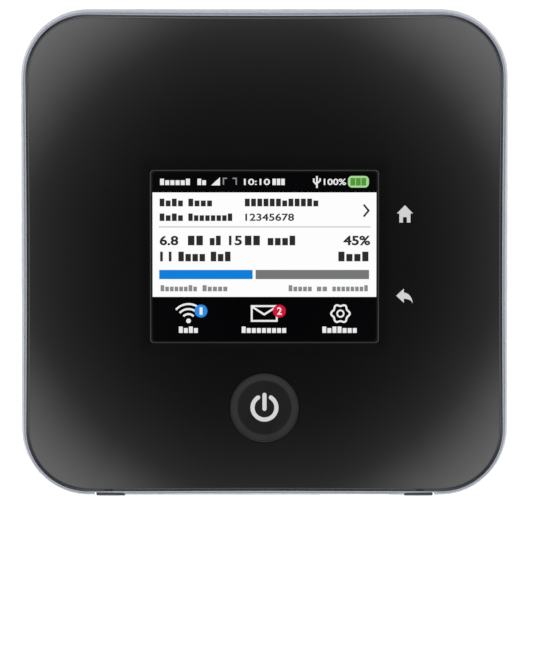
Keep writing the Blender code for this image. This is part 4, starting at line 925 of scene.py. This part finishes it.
# The white signs: the status line, the three menu signs and their labels.
wide_line, narrow_line, status = 0.42, 0.36, (14.72, 16.12)
signs = [tiles("words", row(*status, (-22.9, -16.1), (-14.7, -12.6), (1.75, 4.65, (0, 1, 2)))),
         digits("10:10", -4.5, 1.2, *status), digits("100%", 13.0, 17.9, *status),
         cut_out([(-11.7, 14.65), (-9.75, 14.65), (-9.75, 16.45)]), stroke([(11.5, 14.1), (11.5, 16.7)], 0.4),
         stroke([(10.8, 16.2), (10.8, 15.5), (11.3, 14.9)], 0.35),
         stroke([(12.2, 16.2), (12.2, 15.7), (11.7, 15.2)], 0.35)]
wifi_x, wifi_y = -16.68, -15.1
signs += [stroke(arc(wifi_x, wifi_y, radius, 42, 138), 0.44) for radius in (1.5, 2.6, 3.7)]
signs += [cut_out(arc(wifi_x, wifi_y, 0.52, 0, 345, 23)),
          stroke([(-2.8, -15.1), (2.7, -15.1), (2.7, -11.85), (-2.8, -11.85)], wide_line, closed=True),
          stroke([(-2.8, -11.95), (-0.05, -13.7), (2.7, -11.95)], wide_line)]
gear_x, gear_y, gear_radius, tooth, teeth, gear_steps = 16.68, -13.5, 1.85, 0.2, 6, 96
gear = []
for step in range(gear_steps):
    angle = 2 * math.pi * step / gear_steps
    reach, way = gear_radius + tooth * math.cos(teeth * angle + math.pi), angle + math.pi / teeth
    gear.append((gear_x + reach * math.cos(way), gear_y + reach * math.sin(way)))
signs += [stroke(gear, wide_line, closed=True),
          stroke(arc(gear_x, gear_y, 0.72, 0, 345, 23), narrow_line, closed=True),
          tiles("labels", row(-17.75, -16.35, (-18.8, -14.4, (0, 2)), (-5.0, 5.0, (0,)),
                              (12.7, 20.5, (0, 2, 3))))]
show("lit_signs", signs, 1, white_text)

# The dark words: two lines of names, then the large line over the bar and the one below it.
name, code, big, after = (10.05, 11.75), (6.85, 8.5), (1.5, 3.62), (-2.02, 0.12)
bold = 0.03
words = [tiles("words", row(*name, (-23.0, -17.6, (0, 2)), (-16.7, -11.2),
                            (-4.3, 12.1, (0, 1, 2, 3, 4, 5, 7, 8, 9, 10)))
               + row(*code, (-23.0, -17.6, (0, 2)), (-16.7, -6.8, (0, 7)))),
         digits("12345678", -4.2, 6.5, *code), digits("6.8", -23.0, -18.9, *big, bold),
         stroke([(21.75, 10.45), (22.85, 9.12), (21.75, 7.8)], wide_line),
         tiles("words", row(*big, (-16.8, -13.1, (0, 1)), (-12.0, -9.3, (1,)), (-4.3, -0.6, (0, 1)),
                            (0.7, 7.1, (3,)))
               + row(*after, (-18.9, -12.7, (0,)), (-11.8, -7.1, (0, 2, 3)), (16.2, 23.2, (0, 3)))),
         digits("15", -7.8, -4.95, *big, bold), digits("45%", 17.3, 23.2, *big, bold),
         digits("11", -22.9, -20.4, *after, bold)]
show("dark_words", words, 2, dark_text)

# The grey words under the bar, the grey arrows on the status line, the line and the bar itself.
small = [tiles("words", row(-8.6, -7.25, (-22.8, -14.6, (0, 6)), (-13.6, -7.9), (5.3, 10.6), (11.5, 14.0, ()),
                            (14.9, 22.9, (7,)))),
         stroke([(-9.0, 14.8), (-9.0, 16.2), (-8.2, 16.2)], 0.28),
         stroke([(-6.2, 14.8), (-6.2, 16.2), (-7.0, 16.2)], 0.28)]
show("grey_words", small, 2, grey_text)
bar = (-5.92, -3.9)
show("separator_line", [tiles("line", strip(-23.2, 23.3, 5.42, 5.66))], 2, lit("lit_pale_line", "#C4C4C4"))
show("blue_bar", [tiles("bar", strip(-23.1, -2.6, *bar))], 2, lit("lit_blue", "#0F7FD9"))
show("grey_bar", [tiles("bar", strip(-1.95, 22.95, *bar))], 2, lit("lit_grey", "#767878"))

badge, badge_radius = (-13.75, -12.1), 1.42
for name, x, y, code in (("blue", -13.95, -12.93, "#2C8BE6"), ("red", 3.27, -12.95, "#D3173A")):
    show(f"{name}_badge", [cut_out(arc(x, y, badge_radius, 0, 350, 35))], 2, lit(f"lit_badge_{name}", code))
show("badge_numerals", [digits("1", -14.25, -13.6, *badge), digits("2", 2.75, 3.8, *badge)], 3, white_text)
charge_case = rounded_plan(2.3, 1.28, 0.9, middle=(20.6, 15.45), arcs=6, sides=4)
show("charge_case", [cut_out(charge_case)], 1, lit("lit_pale_green", "#A9DA97"))
cells = [(left, left + 1.05, 14.62, 16.28) for left in (18.85, 20.05, 21.25)]
show("charge_cells", [tiles("cells", cells)], 2, lit("lit_green", "#57963C"))


# --- Power key -----------------------------------------------------------------------------
# A round cap with a shallow dish, held under the cover by its flange. Its sign is moulded in
# white in grooves in the dish, and a plunger carries the push to the switch.

key_top = top_z(0.0, power_y)
low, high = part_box("power_button")
flange_top, dish_deep, rim_fall = low.z + 0.5 * mm, 0.26 * mm, 0.01 * mm
dish = ((7.2, 0.03), (7.0, 0.12), (6.0, 0.86), (5.8, 0.96), (5.6, 1.0), (4.5, 1.0), (2.0, 1.0), (0.4, 1.0))
profile = [(8.45, low.z), (8.45, flange_top), (7.45, flange_top), (7.45, key_top - 0.16 * mm),
           (7.43, key_top - 0.08 * mm), (7.38, key_top - 0.03 * mm), (7.3, key_top - rim_fall)]
profile += [(radius, key_top - rim_fall - (dish_deep - rim_fall) * share) for radius, share in dish]
cap = turned("power_key_cap", [(radius * mm, z) for radius, z in profile], (0.0, power_y), steps=160)
ring_radius, line_half, opening, bar_half, bar_y = 2.58, 0.45, 32, 1.95, power_y / mm + 1.25
inlay_gap, inlay_deep, inlay_proud = 0.03, 0.3 * mm, 0.02 * mm


def open_ring(reach):
    """The open ring of the power sign with round ends, in millimetres."""
    y = power_y / mm
    start, stop = 90 + opening, 450 - opening
    first = (ring_radius * math.cos(math.radians(start)), y + ring_radius * math.sin(math.radians(start)))
    last = (ring_radius * math.cos(math.radians(stop)), y + ring_radius * math.sin(math.radians(stop)))
    return (arc(0, y, ring_radius + reach, start, stop, 60)
            + arc(*last, reach, stop, stop + 180, 12)[1:-1]
            + arc(0, y, ring_radius - reach, stop, start, 60)
            + arc(*first, reach, start + 180, start + 360, 12)[1:-1])


def upright_bar(reach):
    return rounded_plan(reach, bar_half - line_half + reach, reach * 0.999, middle=(0.0, bar_y), arcs=10,
                        sides=2)


def risen(name, outline, low_z, high_z):
    return pulled_shell(name, [[(x * mm, y * mm, z) for x, y in outline] for z in (low_z, high_z)])


dish_z = key_top - dish_deep
carve(cap, [risen("groove", outline(line_half + inlay_gap), dish_z - inlay_deep, dish_z + mm)
            for outline in (open_ring, upright_bar)])

# The cover's polycarbonate left bare: a shade lighter, with the fine eroded grain of its tool, 0.2 mm.
key_plastic, shader = new_material("eroded_black_plastic", Base_Color=linear("#101011"))
grain(key_plastic, shader, 0.2 * mm, 0.001 * mm, (0.2, 0.24))
settle(smooth(cap, 30), "power_button", key_plastic, ["power_button"])

# White ABS moulded into the grooves: smooth, faintly translucent at its edges.
white_abs, shader = new_material("moulded_white_abs", Base_Color=linear("#AEAEAE"), Subsurface_Weight=0.05,
                                 Subsurface_Radius=(0.0003, 0.0003, 0.0003))
grain(white_abs, shader, 0.4 * mm, 0.003 * mm, (0.35, 0.45))
for name, outline in (("power_ring_inlay", open_ring), ("power_bar_inlay", upright_bar)):
    inlay = risen(f"{name}_moulded", outline(line_half), dish_z - inlay_deep, dish_z + inlay_proud)
    settle(smooth(inlay, 30), "power_button", white_abs, [name])


# --- Touch keys ----------------------------------------------------------------------------
# The home and the return sign are light guides that end flush in the cover, lit from the key
# board. They don't move.

touch_x, home_y, back_y, guide_proud = 30.25, 8.7, -9.15, 0.03 * mm


def house():
    """Pitched roof, walls and a doorway, round the middle of the home sign."""
    side = [(0.42, -1.87), (1.2, -1.87), (1.2, 0.1), (1.75, 0.1), (0.0, 1.87)]
    return side + [(-x, y) for x, y in reversed(side[:-1])] + [(-0.42, -0.7), (0.42, -0.7)]


def return_arrow():
    """A head that points left and a tail that curls down, round the middle of the return sign."""
    x0, y0, reach_x, reach_y, inner_share = -0.2, -1.6, 1.9, 2.45, 1.15 / 2.45
    turns = [math.radians(6 * step) for step in range(1, 16)]
    outer = [(x0 + reach_x * math.sin(turn), y0 + reach_y * math.cos(turn)) for turn in turns]
    inner = [(x, y0 + (y - y0) * inner_share) for x, y in outer]
    head = [(x0, 0.85), (x0, 1.75), (-1.85, 0.2), (x0, -1.35), (x0, -0.45)]
    return outer[::-1] + head + inner[:-1]


# Clear plastic with a white diffuser behind it: milky, bright where the light behind it is on.
light_guide, shader = new_material("milky_light_guide", Base_Color=linear("#ADADAD"), Coat_Weight=0.3)
grain(light_guide, shader, 0.5 * mm, 0.002 * mm, (0.25, 0.35))
for name, outline, y in (("home_key_lens", house(), home_y), ("back_key_lens", return_arrow(), back_y)):
    sign = [((a + touch_x) * mm, (b + y) * mm) for a, b in outline]
    guide = pulled_shell(f"{name}_guide", [laid(sign, -0.2 * mm), laid(sign, guide_proud)])
    settle(guide, "housing", light_guide, [name])


# --- Stage ---------------------------------------------------------------------------------
# A white table lit faintly from below, a sky with a dark patch overhead inside a bright ring
# of lamps, and the camera nearly straight above, a little towards the back.

deselect()
bpy.ops.mesh.primitive_plane_add(size=60.0)
floor = bpy.context.object
floor.name = "studio_floor"
floor_paint, shader = new_material("pale_floor", Base_Color=linear("#F4F4F4"), Roughness=0.9,
                                   Emission_Color=linear("#FFFFFF"), Emission_Strength=0.28)
grain(floor_paint, shader, 2 * mm, 0.01 * mm)
floor.data.materials.append(floor_paint)

world = bpy.data.worlds.new("studio_sky")
bpy.context.scene.world = world
world.use_nodes = True
sky = world.node_tree.nodes["Background"]
direction = add_node(world, "TexCoord")
dark_lean = math.radians(3.5)
overhead = add_node(world, "VectorMath", {"operation": "DOT_PRODUCT"}, Vector=direction.outputs["Generated"])
overhead.inputs[1].default_value = (0.0, -math.sin(dark_lean), math.cos(dark_lean))
off_top = add_node(world, "Math", {"operation": "ARCCOSINE"}, Value=overhead.outputs["Value"])
share = add_node(world, "MapRange", {"From Max": math.radians(90)}, Value=off_top.outputs["Value"])
ramp = add_node(world, "ValToRGB", Fac=share.outputs["Result"])
# The brightness of the sky at each angle in degrees from its dark middle.
lights = ((0, 0.001), (5, 0.014), (10, 0.035), (14, 0.055), (18, 0.13), (22, 0.22), (27, 0.32), (34, 0.46),
          (42, 0.62), (50, 0.72), (57, 0.42), (65, 0.22), (76, 0.15), (90, 0.13))
while len(ramp.color_ramp.elements) < len(lights):
    ramp.color_ramp.elements.new(0.5)
for element, (angle, light) in zip(ramp.color_ramp.elements, lights):
    element.position = angle / 90
    element.color = (light, light, light, 1.0)
world.node_tree.links.new(ramp.outputs["Color"], sky.inputs["Color"])
sky.inputs["Strength"].default_value = 4.2
bpy.context.scene.view_settings.view_transform = "Standard"

view_high, distance, tip = 142.3 * mm, 1.2, math.radians(3.4)
aim_x, aim_y, aim_z = 0.76 * mm, -16.34 * mm, 15 * mm
camera_data = bpy.data.cameras.new("camera")
camera_data.lens, camera_data.clip_end = camera_data.sensor_width * distance / view_high, 60.0
camera = bpy.data.objects.new("camera", camera_data)
bpy.context.scene.collection.objects.link(camera)
camera.location = (aim_x, aim_y + distance * math.sin(tip), aim_z + distance * math.cos(tip))
camera.rotation_euler = (-tip, 0.0, 0.0)
bpy.context.scene.camera = camera
